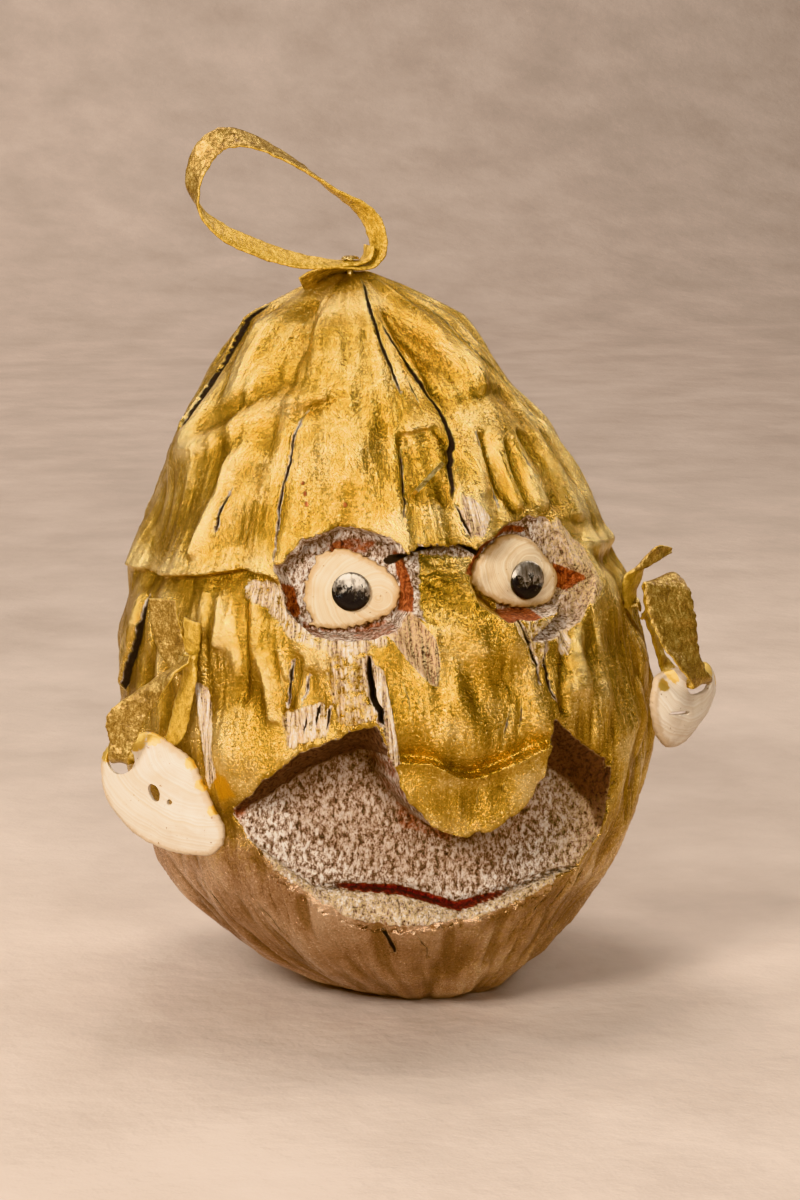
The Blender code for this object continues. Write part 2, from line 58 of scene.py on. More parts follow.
TARGET = Vector((-5.0, 1.3, 134.0)) * MM
AZIMUTH = math.radians(-15)
ELEVATION = math.radians(10)
DISTANCE = 1.1
towards_camera = Vector((
    math.sin(AZIMUTH) * math.cos(ELEVATION),
    -math.cos(AZIMUTH) * math.cos(ELEVATION),
    math.sin(ELEVATION),
))
camera_data = bpy.data.cameras.new("camera")
camera_data.lens = 95.7
camera_data.sensor_width = 36
camera = bpy.data.objects.new("camera", camera_data)
camera.location = TARGET + towards_camera * DISTANCE
camera.rotation_euler = (-towards_camera).to_track_quat("-Z", "Y").to_euler()
bpy.context.scene.collection.objects.link(camera)
bpy.context.scene.camera = camera
bpy.context.scene.view_settings.view_transform = "Khronos PBR Neutral"

# ---------------------------------------------------------------- husk shape

PROFILE = [
    (0, 28), (5, 39), (14, 52), (24, 62), (34, 70), (47, 79), (64, 87), (82, 91), (99, 92), (117, 90.5),
    (134, 87.5), (148, 83.5), (162, 78), (173, 73.5), (185, 68), (197, 61), (209, 52), (221.6, 43),
    (232, 34), (243, 15), (247.5, 5), (249.5, 0.5),
]
AXIS = [(0, 0), (8, -3), (20, -7), (36, -9.5), (60, -9.5), (100, -9.5), (150, -13.2), (247.5, -21.8)]
LOBE = 0.012
# How far the pleats under the stem push the section out or in, as (angle, share of the radius).
PLEATS = [
    (-180, -0.05), (-158, 0.06), (-132, -0.05), (-107, 0.06), (-92, 0.06), (-66, 0.04), (-44, -0.07),
    (-25, 0.06), (0, 0.01), (17, -0.06), (30, 0.05), (50, 0.0), (75, -0.05), (98, 0.06), (124, -0.06),
    (150, 0.06), (180, -0.05),
]

TURN = 1440
SKIN_CELL = 0.5
SKIN_TOP = 250.0
skin_angle = (np.arange(TURN) / TURN * 360 - 180).astype(np.float32)[:, None]
skin_z = np.arange(0, SKIN_TOP + 0.1, SKIN_CELL).astype(np.float32)[None, :]
profile_z, profile_r = np.array(PROFILE, float).T
axis_z, axis_x = np.array(AXIS, float).T
radius_at = np.interp(skin_z[0], profile_z, profile_r).astype(np.float32)
# Length along the skin from the base, so that distances near the flat top come out right.
slope_at = np.gradient(radius_at, SKIN_CELL)
climb = np.concatenate([[0], np.cumsum(np.hypot(1, np.clip(slope_at[1:], -4, 4)) * SKIN_CELL)])
climb = climb.astype(np.float32)


def smooth(value, low, high):
    t = np.clip((value - low) / (high - low), 0, 1)
    return t * t * (3 - 2 * t)


def noise_field(shape, cell, wave, seed, wraps=(True, False)):
    """Smooth noise of unit spread with these wavelengths, in mm, along the two sides of the map."""
    rng = np.random.default_rng(seed)
    padded = [n if wrap else 2 * n for n, wrap in zip(shape, wraps)]
    spectrum = np.fft.rfft2(rng.standard_normal(padded))
    fx = np.fft.fftfreq(padded[0], cell[0])[:, None] * wave[0]
    fz = np.fft.rfftfreq(padded[1], cell[1])[None, :] * wave[1]
    power = fx ** 2 + fz ** 2
    made = np.fft.irfft2(spectrum * power * np.exp(-1.6 * power), padded)[: shape[0], : shape[1]]
    return (made / made.std()).astype(np.float32)


SKIN_SHAPE = (TURN, skin_z.shape[1])


def skin_noise(across, along, seed):
    return noise_field(SKIN_SHAPE, (2 * math.pi * 85 / TURN, SKIN_CELL), (across, along), seed)


def line_distance(points):
    """For each cell of the skin map: distance to a line of (angle, z) points, share along it and side."""
    scale = (np.maximum(radius_at, 4) * math.pi / 180)[None, :]
    lengths = [0.0]
    for (a0, z0), (a1, z1) in zip(points, points[1:]):
        lengths.append(lengths[-1] + math.hypot((a1 - a0) * 1.4, z1 - z0))
    best = np.full(SKIN_SHAPE, 1e6, np.float32)
    share = np.zeros(SKIN_SHAPE, np.float32)
    side = np.zeros(SKIN_SHAPE, np.float32)
    for i, ((a0, z0), (a1, z1)) in enumerate(zip(points, points[1:])):
        s0, s1 = np.interp([z0, z1], skin_z[0], climb)
        px = ((skin_angle - a0 + 180) % 360 - 180) * scale
        py = climb[None, :] - s0
        qx = (a1 - a0) * scale
        qy = s1 - s0
        t = np.clip((px * qx + py * qy) / (qx * qx + qy * qy + 1e-6), 0, 1)
        gap = np.hypot(px - t * qx, py - t * qy)
        nearer = gap < best
        best = np.where(nearer, gap, best)
        share = np.where(nearer, (lengths[i] + t * (lengths[i + 1] - lengths[i])) / lengths[-1], share)
        side = np.where(nearer, np.sign(qx * py - qy * px), side)
    return best, share, side


def faded(share, start=0.12, end=0.12):
    return smooth(share, -0.001, start) * smooth(1 - share, -0.001, end)


def ridge(points, width, height, start=0.12, end=0.12):
    gap, share, _ = line_distance(points)
    return height * np.exp(-((gap / width) ** 2)) * faded(share, start, end)


def step(points, height, reach, edge=0.7):
    """A step across a line: up on its left side, falling back to nothing over reach."""
    gap, share, side = line_distance(points)
    return height * side * smooth(gap, 0, edge) * np.exp(-gap / reach) * faded(share, 0.1, 0.1)


def skin_patch(outline, edge=1.5):
    """1 inside an outline of (angle, z) points, fading over edge mm."""
    gap, _, _ = line_distance(outline + outline[:1])
    inside = np.zeros(SKIN_SHAPE, bool)
    for (a0, z0), (a1, z1) in zip(outline, outline[1:] + outline[:1]):
        crosses = (z0 > skin_z) != (z1 > skin_z)
        inside ^= crosses & (skin_angle < a0 + (skin_z - z0) * (a1 - a0) / ((z1 - z0) or 1e-6))
    return smooth(np.where(inside, gap, -gap), -edge, edge)


# Cracks: (angle, z) points, half width and depth.
CRACKS = [
    ([(2, 247), (-4, 240), (-4, 230), (-3, 224), (-1, 217), (0, 210)], 0.55, 1.6),
    (
        [(0, 233), (3, 227), (7, 221), (10, 213), (13, 206), (13, 201), (12, 195), (9, 187), (7.5, 178)],
        0.75, 2.6,
    ),
    ([(7.5, 178), (8.6, 173), (10, 166)], 0.45, 1.2),
    ([(3.6, 217), (6, 208)], 0.35, 0.8),
    ([(-31, 210), (-35, 204), (-38, 197), (-38, 188), (-39.2, 178), (-39, 166), (-38.6, 155)], 0.4, 1.2),
    ([(-4, 197), (-5, 186), (-7, 171)], 0.4, 0.9),
    ([(-99, 238), (-95, 229), (-93, 218), (-90, 207), (-87, 195)], 0.9, 3.0),
    ([(-55, 182), (-57.4, 175), (-58, 165)], 0.4, 1.2),
    ([(60, 238), (50, 230), (50, 222), (56, 213), (66, 205), (71, 193)], 0.5, 1.4),
    ([(22, 200), (21.4, 191), (21, 182), (20, 174)], 0.45, 1.5),
    ([(36, 193), (36.5, 182)], 0.35, 0.8),
    ([(-81, 143), (-82, 134), (-84, 124), (-88, 112), (-92, 103)], 1.3, 4.5),
    ([(-17.2, 132), (-17.4, 126), (-16.4, 117), (-15, 110)], 1.0, 7.0),
    ([(16, 142), (18, 131), (19.4, 120)], 0.6, 4.0),
    ([(-33, 131), (-34.5, 122), (-35.5, 113)], 0.4, 1.2),
    ([(-30, 128), (-30.6, 121), (-32, 115)], 0.3, 0.9),
    ([(-28, 117), (-29.4, 109)], 0.5, 1.6),
    ([(-26, 116), (-27, 108)], 0.45, 1.4),
    ([(-31, 113), (-32, 105)], 0.4, 1.2),
    ([(12.3, 117), (10.2, 107), (8.4, 99)], 0.3, 0.6),
    ([(14.8, 118), (13.6, 108), (12.4, 102)], 0.3, 0.6),
    ([(-11, 125), (-9.5, 118), (-10, 112)], 0.3, 0.5),
    ([(-7.5, 121), (-8.4, 115)], 0.25, 0.5),
    ([(5, 92), (3.6, 84), (3, 78)], 0.25, 0.5),
    ([(9.5, 93), (9, 85)], 0.25, 0.5),
    ([(23.4, 137), (21.4, 128), (21.6, 118), (23.6, 112)], 0.45, 1.6),
    ([(-16.6, 40), (-15.4, 34), (-14, 27)], 0.7, 2.2),
    ([(-8, 38), (-5, 30), (-4, 22)], 0.3, 0.7),
    ([(-66, 50), (-63, 41), (-64, 33)], 0.4, 1.0),
    ([(-50, 47), (-46, 38), (-44, 30)], 0.3, 0.8),
    ([(28, 46), (26, 38)], 0.35, 1.0), ([(34, 50), (32, 36)], 0.35, 1.0), ([(40, 54), (37, 41)], 0.35, 1.0),
    ([(60, 96), (61, 84)], 0.3, 0.8),
    ([(120, 225), (117, 205), (116, 180), (119, 150)], 0.6, 1.8),
    ([(150, 190), (154, 160), (151, 120), (155, 90)], 0.5, 1.5),
    ([(-150, 228), (-146, 200), (-148, 170)], 0.6, 1.8),
    ([(-170, 120), (-174, 90), (-168, 60)], 0.4, 1.2),
    ([(-120, 150), (-124, 118), (-121, 90)], 0.5, 1.4),
    ([(100, 130), (97, 100), (99, 70)], 0.5, 1.4),
]


def make_skin():
    """The relief over the body, in mm."""
    relief = np.zeros(SKIN_SHAPE, np.float32)
    # Folds under the stem.
    for points, width, height, *fade in [
        ([(-38, 244), (-28, 234), (-25, 222), (-23, 208), (-21, 196)], 9, 2.6, 0.2, 0.4),
        ([(-54, 240), (-46, 231), (-43, 223), (-42, 216)], 4.0, -4.2, 0.2, 0.35),
        ([(-78, 236), (-67, 226), (-65, 213), (-60, 201)], 7, 1.8, 0.2, 0.3),
        ([(5, 239), (10, 231), (18, 225), (26, 217), (31, 211)], 4.5, -3.4, 0.2, 0.3),
        ([(20, 239), (26, 229), (32, 219), (37, 210)], 5, 2.4, 0.2, 0.3),
        ([(-85, 188), (-67, 197), (-56, 205), (-43, 209), (-30, 211), (-22, 215)], 3.2, 1.7),
        ([(-80, 196), (-62, 207), (-50, 213), (-38, 217)], 4.5, -1.9),
        ([(-36, 205), (-28, 208), (-20, 213)], 1.3, -0.8),
        ([(-44, 203), (-34, 205)], 1.2, -0.6),
        ([(8, 213), (22, 208), (40, 209), (52, 206)], 3.5, -1.2),
        ([(-14, 190), (-22, 194), (-32, 192)], 15, 1.6, 0.3, 0.3),
    ]:
        relief += ridge(points, width, height, *fade)
    # Left-hand fold seen from the front, and the edge of the skin at the side.
    relief += ridge([(-55, 194), (-58.5, 187), (-59.5, 178), (-61, 168), (-62, 157)], 2.6, 2.6, 0.15, 0.1)
    relief += ridge([(-49, 190), (-51, 176), (-52, 162)], 5, -1.4)
    relief += step([(-87, 195), (-90, 207), (-93, 218), (-95, 229), (-99, 238)], 1.3, 7)
    # Pleats over the left eye and temple.
    for points, width, height, *fade in [
        ([(24.5, 199), (23.6, 188), (23.4, 177)], 2.4, -1.6),
        ([(29, 200), (27.4, 186), (27.5, 173)], 2.6, 2.1),
        ([(32.5, 196), (32, 184), (31, 174)], 1.8, -1.2),
        ([(36, 198), (36, 186), (37, 172)], 2.6, 1.5),
        ([(44, 198), (43, 182), (42, 170)], 3.0, -1.5),
        ([(52, 199), (51, 182), (49, 166)], 4.5, 1.9),
        ([(62, 196), (62, 176), (60, 158)], 5, -1.5),
        ([(72, 200), (72, 176), (70, 152)], 6, 1.6),
        ([(46, 163), (52, 160), (62, 158), (76, 158)], 3.5, 1.1),
        ([(48, 155), (60, 150), (78, 150)], 4, -1.5),
    ]:
        relief += ridge(points, width, height, *fade)
    # A flat cut back in the brow, under the staple.
    flat_cut = [(-5, 199), (-5.6, 187), (-6.6, 180), (7, 177.6), (9, 187), (12, 196), (8, 201)]
    relief -= 1.5 * skin_patch(flat_cut, 0.7)
    relief += ridge([(9.4, 196), (15, 196), (18, 188), (17, 178)], 3, 0.8)
    # The ledge beside the right eye and the loose skin at the side.
    ledge = [(-98, 149), (-76, 150), (-60, 152.5), (-48, 156), (-41, 155.2), (-35, 153)]
    relief += step(ledge, 1.7, 8)
    relief += ridge([(-84, 145), (-85, 132), (-88, 118), (-92, 106)], 3.0, 2.4)
    relief += ridge([(-74, 141), (-75, 125), (-79, 108)], 4.5, -1.8)
    # Right cheek.
    for points, width, height, *fade in [
        ([(-52.4, 149), (-51.4, 140), (-52, 130)], 2.3, 2.3),
        ([(-47.5, 150), (-46.4, 141), (-45.4, 128), (-46, 113)], 2.8, -1.9),
        ([(-41.5, 132), (-39.5, 123), (-38.4, 108)], 2.2, 1.7),
        ([(-36.4, 134), (-34.8, 123)], 1.8, 1.1),
        ([(-31.4, 133), (-33, 121), (-35.4, 110)], 1.6, -1.2),
    ]:
        relief += ridge(points, width, height, *fade)
    relief += 0.8 * skin_patch([(-32, 137), (-24.5, 135), (-25, 127), (-32, 127)], 1.5)
    under_eye = [
        (-46, 152), (-38, 153), (-34, 146), (-23, 140), (-14, 139), (-22, 136), (-34, 139), (-44, 145),
    ]
    relief -= 1.2 * skin_patch(under_eye, 2)
    # Nose: the wedge beside the bridge, side faces, and the overhang above the nostril line.
    wedge = [
        (-15, 147), (-11.5, 143), (-9, 134), (-6, 126), (-3.9, 122.3), (-3.3, 130), (-3.6, 136),
        (-6, 142), (-9, 147),
    ]
    relief -= 1.7 * skin_patch(wedge, 0.9)
    relief += ridge([(-3, 141), (-3.2, 132), (-3.8, 123)], 0.9, 0.4)
    relief += ridge([(12.2, 141), (12, 132), (11, 123), (13, 118)], 0.8, -0.5)
    relief += ridge([(22, 135), (20.4, 129), (17, 124)], 0.8, 0.7)
    nostril = [
        (-15, 99), (-9, 98.4), (-6, 98), (-3, 95.4), (-1, 93.2), (3, 92), (7, 94), (11, 96.4),
        (16, 99.4), (20.5, 101.6),
    ]
    gap, share, side = line_distance(nostril)
    above = (side > 0) & (share > 0.002) & (share < 0.998)
    overhang = np.where(above, 4.0 * np.exp(-gap / 6.5) * smooth(gap, -0.6, 0.7), 0)
    relief -= overhang * smooth(np.abs(share - 0.5), 0.56, 0.4)
    relief += np.where((side < 0) & (gap < 3), 1.0 * np.exp(-gap / 1.5), 0) * faded(share, 0.05, 0.05)
    # Left cheek and jaw.
    relief += ridge([(31, 137), (27, 129), (24.6, 117), (25, 108)], 2.2, -1.6)
    relief += ridge([(35, 136), (31, 128), (29, 114)], 3.5, 1.2)
    relief += ridge([(56, 114), (55.4, 100), (57, 84)], 2.6, 1.0)
    # Quiet unevenness everywhere.
    relief += 0.75 * skin_noise(34, 46, 1)
    relief += 0.28 * skin_noise(11, 26, 2)
    streaks = skin_noise(2.6, 34, 3) + 0.6 * skin_noise(1.7, 16, 4)
    amount = 0.07 + 0.10 * smooth(skin_angle, 18, 40) * smooth(150 - skin_z, 0, 30)
    amount = amount + 0.07 * smooth(80 - skin_z, 0, 40) + 0.08 * smooth(np.abs(skin_angle), 85, 120)
    rough = skin_patch([(-27, 132), (-17.6, 131), (-15.4, 113), (-24, 108)], 2)
    torn = skin_patch([(-36, 113), (-27, 117), (-26, 106), (-36, 101)], 2)
    relief += streaks * (amount + 0.38 * rough + 0.45 * torn)
    grip = smooth(skin_z, 236, 248)
    return relief * (1.4 - grip)


relief_map = make_skin()
swell_map = 1 + LOBE * np.cos(np.radians(3 * skin_angle))
pleat_turn = np.interp(skin_angle[:, 0], *np.array(PLEATS, float).T)
kernel = np.exp(-np.linspace(-2, 2, 41) ** 2)
wrapped = np.concatenate([pleat_turn[-40:], pleat_turn, pleat_turn[:40]])
pleat_turn = np.convolve(wrapped, kernel / kernel.sum(), "same")[40:-40]
swell_map = swell_map + pleat_turn[:, None] * np.clip((skin_z - 175) / 60, 0, 1) * 1.15
outer_map = (radius_at[None, :] * swell_map + relief_map).astype(np.float32)


def blurred(grid, across, along):
    """The skin map with everything smaller than these lengths, in mm, smoothed away."""
    padded = np.concatenate([grid, grid[:, ::-1]], axis=1)
    fx = np.fft.fftfreq(grid.shape[0], 2 * math.pi * 85 / TURN)[:, None] * across
    fz = np.fft.rfftfreq(padded.shape[1], SKIN_CELL)[None, :] * along
    made = np.fft.irfft2(np.fft.rfft2(padded) * np.exp(-((fx ** 2 + fz ** 2) * 4)), padded.shape)
    return made[:, : grid.shape[1]].astype(np.float32)


# Above 0 on ridges and below 0 in hollows.
relief_only = outer_map - radius_at[None, :] * swell_map
ridge_map = (blurred(relief_only, 2, 3) - blurred(relief_only, 9, 12)) / 0.6
# The field is divided by how steeply the surface leans, to make it a distance.
lean_map = np.hypot(1, np.gradient(outer_map, SKIN_CELL, axis=1))
turn_slope = np.gradient(outer_map, math.radians(360 / TURN), axis=0)
lean_map = np.hypot(lean_map, turn_slope / np.maximum(outer_map, 4))
lean_map = np.clip(lean_map, 1, 4).astype(np.float32)


def sample(grid, u, v, wraps):
    """Bilinear reading of a map at fractional indices."""
    rows, columns = grid.shape
    i0 = np.floor(u).astype(np.int64)
    fu = (u - i0).astype(np.float32)
    if wraps:
        i1 = (i0 + 1) % rows
        i0 = i0 % rows
    else:
        i0 = np.clip(i0, 0, rows - 2)
        i1 = i0 + 1
    v = np.clip(v, 0, columns - 1.001)
    j0 = np.floor(v).astype(np.int64)
    fv = (v - j0).astype(np.float32)
    flat = grid.ravel()
    a = flat[i0 * columns + j0] * (1 - fv) + flat[i0 * columns + j0 + 1] * fv
    b = flat[i1 * columns + j0] * (1 - fv) + flat[i1 * columns + j0 + 1] * fv
    return a * (1 - fu) + b * fu


def skin_places(p):
    """Where points lie on the skin map, and their distance from the husk's own axis."""
    dx = p[:, 0] - np.interp(p[:, 2], axis_z, axis_x)
    u = (np.degrees(np.arctan2(dx, -p[:, 1])) + 180) / 360 * TURN
    return u, p[:, 2] / SKIN_CELL, np.hypot(dx, p[:, 1])


def body_field(p):
    u, v, away = skin_places(p)
    side = (away - sample(outer_map, u, v, True)) / sample(lean_map, u, v, True)
    return np.maximum(np.maximum(side, -p[:, 2]), p[:, 2] - 247.6)


# ---------------------------------------------------------------- carving

FACE_CELL = 0.5
FACE_X = (-110.0, 100.0)
face_x = np.arange(FACE_X[0], FACE_X[1] + 0.1, FACE_CELL).astype(np.float32)[:, None]
face_z = skin_z
FACE_SHAPE = (face_x.shape[0], face_z.shape[1])


def face_noise(across, along, seed):
    return noise_field(FACE_SHAPE, (FACE_CELL, FACE_CELL), (across, along), seed, (False, False))


def face_line(points):
    """Distance over (x, z) to a line of points, its share along it and side."""
    best = np.full(FACE_SHAPE, 1e6, np.float32)
    share = np.zeros(FACE_SHAPE, np.float32)
    side = np.zeros(FACE_SHAPE, np.float32)
    total = sum(math.dist(a, b) for a, b in zip(points, points[1:]))
    done = 0.0
    for (x0, z0), (x1, z1) in zip(points, points[1:]):
        qx, qz = x1 - x0, z1 - z0
        px, pz = face_x - x0, face_z - z0
        t = np.clip((px * qx + pz * qz) / (qx * qx + qz * qz), 0, 1)
        gap = np.hypot(px - t * qx, pz - t * qz)
        nearer = gap < best
        best = np.where(nearer, gap, best)
        share = np.where(nearer, (done + t * math.hypot(qx, qz)) / total, share)
        side = np.where(nearer, np.sign(qx * pz - qz * px), side)
        done += math.hypot(qx, qz)
    return best, share, side


def face_outline(outline):
    """Signed distance over (x, z) to a closed outline, negative inside."""
    gap, _, _ = face_line(outline + outline[:1])
    inside = np.zeros(FACE_SHAPE, bool)
    for (x0, z0), (x1, z1) in zip(outline, outline[1:] + outline[:1]):
        crosses = (z0 > face_z) != (z1 > face_z)
        inside ^= crosses & (face_x < x0 + (face_z - z0) * (x1 - x0) / ((z1 - z0) or 1e-6))
    return np.where(inside, -gap, gap).astype(np.float32)


def face_patch(outline, edge=1.5):
    return smooth(-face_outline(outline), -edge, edge)


def front_of_skin():
    """The skin's y over (x, z)."""
    dx = face_x - np.interp(face_z[0], axis_z, axis_x)[None, :].astype(np.float32)
    y = -np.sqrt(np.maximum(radius_at[None, :] ** 2 - dx ** 2, 0))
    for _ in range(6):
        u = (np.degrees(np.arctan2(dx, -y)) + 180) / 360 * TURN
        v = np.broadcast_to(face_z / SKIN_CELL, FACE_SHAPE)
        outer = sample(outer_map, u.ravel(), v.ravel(), True).reshape(FACE_SHAPE)
        y = 0.5 * y - 0.5 * np.sqrt(np.maximum(outer ** 2 - dx ** 2, 0))
    return y.astype(np.float32)


skin_front = front_of_skin()
edge_wobble = 0.35 * face_noise(7, 7, 11) + 0.16 * face_noise(2.6, 2.6, 12)
stipple = 0.16 * face_noise(1.5, 2.6, 13) + 0.10 * face_noise(1.1, 1.5, 14) + 0.12 * face_noise(9, 14, 15)

MOUTH = [
    (-80, 74), (-70, 90), (-59, 100), (-47, 107), (-37, 111), (-33.5, 103), (-31, 96), (-27.5, 86),
    (-18, 76), (-8.5, 72), (3, 75), (13, 81), (19, 90), (21.5, 99), (23, 110), (31.5, 101.4),
    (40.6, 95.3), (46.5, 91), (50, 84.5), (51, 77), (50, 68.5), (47, 59), (37, 52), (22.5, 45), (9, 40),
    (-3, 38.5), (-15, 37.5), (-31.5, 36), (-43, 41), (-56, 49), (-70, 60),
]
# The mouth's floor is smaller than its opening: its walls slope above the left corner and on the right.
MOUTH_BOTTOM = [
    (-78, 74.5), (-67, 81), (-54, 89.5), (-41, 95.5), (-32, 99.5), (-30, 95), (-26.5, 86), (-18, 76),
    (-8.5, 72), (3, 75), (13, 81), (19, 89), (22.5, 94), (27, 89), (33, 84.5), (37, 81), (40.5, 76),
    (43, 71), (44.8, 64), (44, 57), (37, 51), (22.5, 44), (9, 39), (-3, 37.5), (-15, 36.5), (-31.5, 35),
    (-44, 40), (-57, 48), (-71, 59),
]
RIGHT_SOCKET = [
    (-64, 158), (-55, 167), (-43, 171.5), (-33, 170.5), (-25, 166), (-21.5, 158), (-22, 148),
    (-27, 140), (-34, 137.2), (-44, 136.4), (-54, 137.4), (-61, 144),
]
LEFT_SOCKET = [
    (-4, 157), (0, 164), (7, 168), (14, 171), (21, 171.5), (28, 170), (35, 163), (36.8, 155),
    (42, 149.6), (36.4, 146.6), (31, 141.4), (20, 140.2), (8, 140.8), (-1, 146), (-5, 151.5),
]
BRIDGE = [
    (-27, 161), (-20, 165), (-5, 165), (3, 162), (7, 151), (8.5, 142.5), (-5, 141), (-16, 140.5),
    (-28, 147),
]
SLIT = [(-50, 51.4), (-41, 50.9), (-23, 48.8), (-4, 42.6), (11, 46.6), (29, 52.8), (39, 54.2)]
# The lower lip is a facet that slopes from this line out to the mouth's lower rim.
LEDGE = [(-80, 74), (-69, 66), (-59, 58), *SLIT, (48, 59)]
RIGHT_EYE = {"centre": (-40, -68, 151.3), "faces": (-0.37, -0.93, 0.05)}
LEFT_EYE = {"centre": (17, -65.5, 152.2), "faces": (0.27, -0.96, 0.05)}


def plate_floor(eye, behind):
    """The y over (x, z) of the plane this far behind an eye plate's middle."""
    normal = Vector(eye["faces"]).normalized()
    point = Vector(eye["centre"]) - normal * behind
    return point.y - ((face_x - point.x) * normal.x + (face_z - point.z) * normal.z) / normal.y


def make_mouth():
    floor = -74.7 - 0.09 * face_x + 0.161 * face_z + stipple
    gap, share, side = face_line(SLIT)
    band = 4.6 * np.sqrt(np.maximum(np.sin(share * math.pi), 0)) * (1 - 0.45 * share)
    floor += np.where(side > 0, 2.4 * np.clip(1 - gap / np.maximum(band, 0.3), 0, 1) ** 0.8, 0)
    rim = face_outline(MOUTH) + edge_wobble * 0.8
    lip_gap, _, lip_side = face_line(LEDGE)
    share = lip_gap / (lip_gap + np.maximum(-rim, 0) + 0.01)
    lip = (floor - 2.6) * (1 - share) + (skin_front + 0.5) * share
    lip_mask = (lip_side < 0) * smooth(lip_gap, -0.2, 0.5) * smooth(-rim, -0.5, 0.3)
    return rim, np.where(lip_side < 0, floor + (np.minimum(lip, floor) - floor) * lip_mask, floor), lip_mask


def make_socket(outline, eye):
    floor = plate_floor(eye, 2.6) + stipple * 0.8
    return face_outline(outline) + edge_wobble * 0.8, floor


mouth_gap, mouth_floor, lip_map = make_mouth()
mouth_bottom_gap = face_outline(MOUTH_BOTTOM) + edge_wobble * 0.8
mouth_depth = np.maximum(mouth_floor - skin_front, 1)
right_gap, right_floor = make_socket(RIGHT_SOCKET, RIGHT_EYE)
left_gap, left_floor = make_socket(LEFT_SOCKET, LEFT_EYE)
bridge_gap = face_outline(BRIDGE) + edge_wobble * 0.6
bridge_floor = -189.3 + 0.74 * face_z + 0.5 * stipple + 0.3 * face_noise(6, 3, 16)
lower_facet = [
    (14, 134), (24, 133), (38, 137), (44, 146), (46, 158), (41, 165), (34, 165), (36, 150), (28, 141),
]
lower_facet_gap = face_outline(lower_facet)
lower_facet_floor = plate_floor(LEFT_EYE, -1.6) + 0.5 * stipple


def face_reader(p):
    u = (p[:, 0] - FACE_X[0]) / FACE_CELL
    v = p[:, 2] / FACE_CELL
    return lambda grid: sample(grid, u, v, False)


def cut_fields(p):
    """The carving's fields at points, negative where material is gone: mouth, sockets, bridge, facet."""
    read = face_reader(p)
    y = p[:, 1]
    depth = np.clip(y - read(skin_front), 0, 30)
    share = np.clip(depth / read(mouth_depth), 0, 1)
    mouth = read(mouth_gap) * (1 - share) + read(mouth_bottom_gap) * share
    mouth = np.maximum((mouth + 0.06 * depth) / 1.1, y - read(mouth_floor))
    cuts = [mouth]
    for gap, floor, lean in ((right_gap, right_floor, 0.42), (left_gap, left_floor, 0.34)):
        tilt = lean * smooth(p[:, 2], 138, 156)
        cuts.append(np.maximum((read(gap) + tilt * depth) / np.hypot(1, tilt), y - read(floor)))
    cuts.append(np.maximum(read(bridge_gap), 0.8 * (y - read(bridge_floor))))
    cuts.append(np.maximum(read(lower_facet_gap) + 0.3 * depth, y - read(lower_facet_floor)))
    behind = y > 0
    return [np.where(behind, 10.0, cut) for cut in cuts]


def husk_field(p):
    field = body_field(p)
    for cut in cut_fields(p):
        field = np.maximum(field, -cut)
    return field


def quads_of(field, origin, cell):
    """The zero surface of a field on a grid, as points and quads."""
    grid = openvdb.FloatGrid(float(3 * cell))
    grid.copyFromArray(field.astype(np.float32))
    points, quads = grid.convertToQuads(0.0)
    return points.astype(np.float64) * cell + np.array(origin), quads


def gradient(field, p, eps=0.2):
    made = np.empty_like(p)
    for axis in range(3):
        shift = np.zeros(3)
        shift[axis] = eps
        made[:, axis] = (field(p + shift) - field(p - shift)) / (2 * eps)
    return made


def husk_surface(cell):
    low = np.array([-106.0, -96.0, -3.0])
    high = np.array([88.0, 97.0, 251.0])
    xs, ys, zs = (np.arange(a, b, cell) for a, b in zip(low, high))
    coarse = np.full((len(xs), len(ys), len(zs)), 3 * cell, np.float32)
    dx = xs[:, None, None] - np.interp(zs, axis_z, axis_x)[None, None, :]
    away = np.hypot(dx, ys[None, :, None]) - np.interp(zs, profile_z, profile_r)[None, None, :]
    coarse[away < -8] = -3 * cell
    reach = np.where(ys < -20, -30.0, -9.0)[None, :, None]
    near = (away > reach) & (away < 9)
    index = np.nonzero(near)
    points = np.stack([xs[index[0]], ys[index[1]], zs[index[2]]], axis=1)
    coarse[index] = np.clip(husk_field(points), -3 * cell, 3 * cell)
    points, quads = quads_of(coarse, low, cell)
    for _ in range(3):
        value = husk_field(points)
        slope = gradient(husk_field, points)
        points -= slope * (np.clip(value, -cell, cell) / np.maximum((slope ** 2).sum(1), 0.25))[:, None]
    return sharpened(points, cell), quads


def sharpened(points, cell):
    """Points beside the rim of a cut move onto the rim, so that it isn't chamfered."""
    body = body_field(points)
    for number in range(len(cut_fields(points[:1]))):
        cut = cut_fields(points)[number]
        near = (np.abs(body) < 0.55 * cell) & (np.abs(cut) < 0.55 * cell)
        if not near.any():
            continue
        spot = points[near]
        start = spot.copy()
        for _ in range(3):
            values = np.stack([body_field(spot), cut_fields(spot)[number]], axis=1)
            cut_slope = gradient(lambda q: cut_fields(q)[number], spot)
            rows = np.stack([gradient(body_field, spot), cut_slope], axis=1)
            square = rows @ rows.transpose(0, 2, 1) + np.eye(2) * 0.02
            spot = spot - (rows.transpose(0, 2, 1) @ np.linalg.solve(square, values[:, :, None]))[:, :, 0]
        moved = np.linalg.norm(spot - start, axis=1) < 1.2 * cell
        keep = np.nonzero(near)[0][moved]
        points[keep] = spot[moved]
    return points


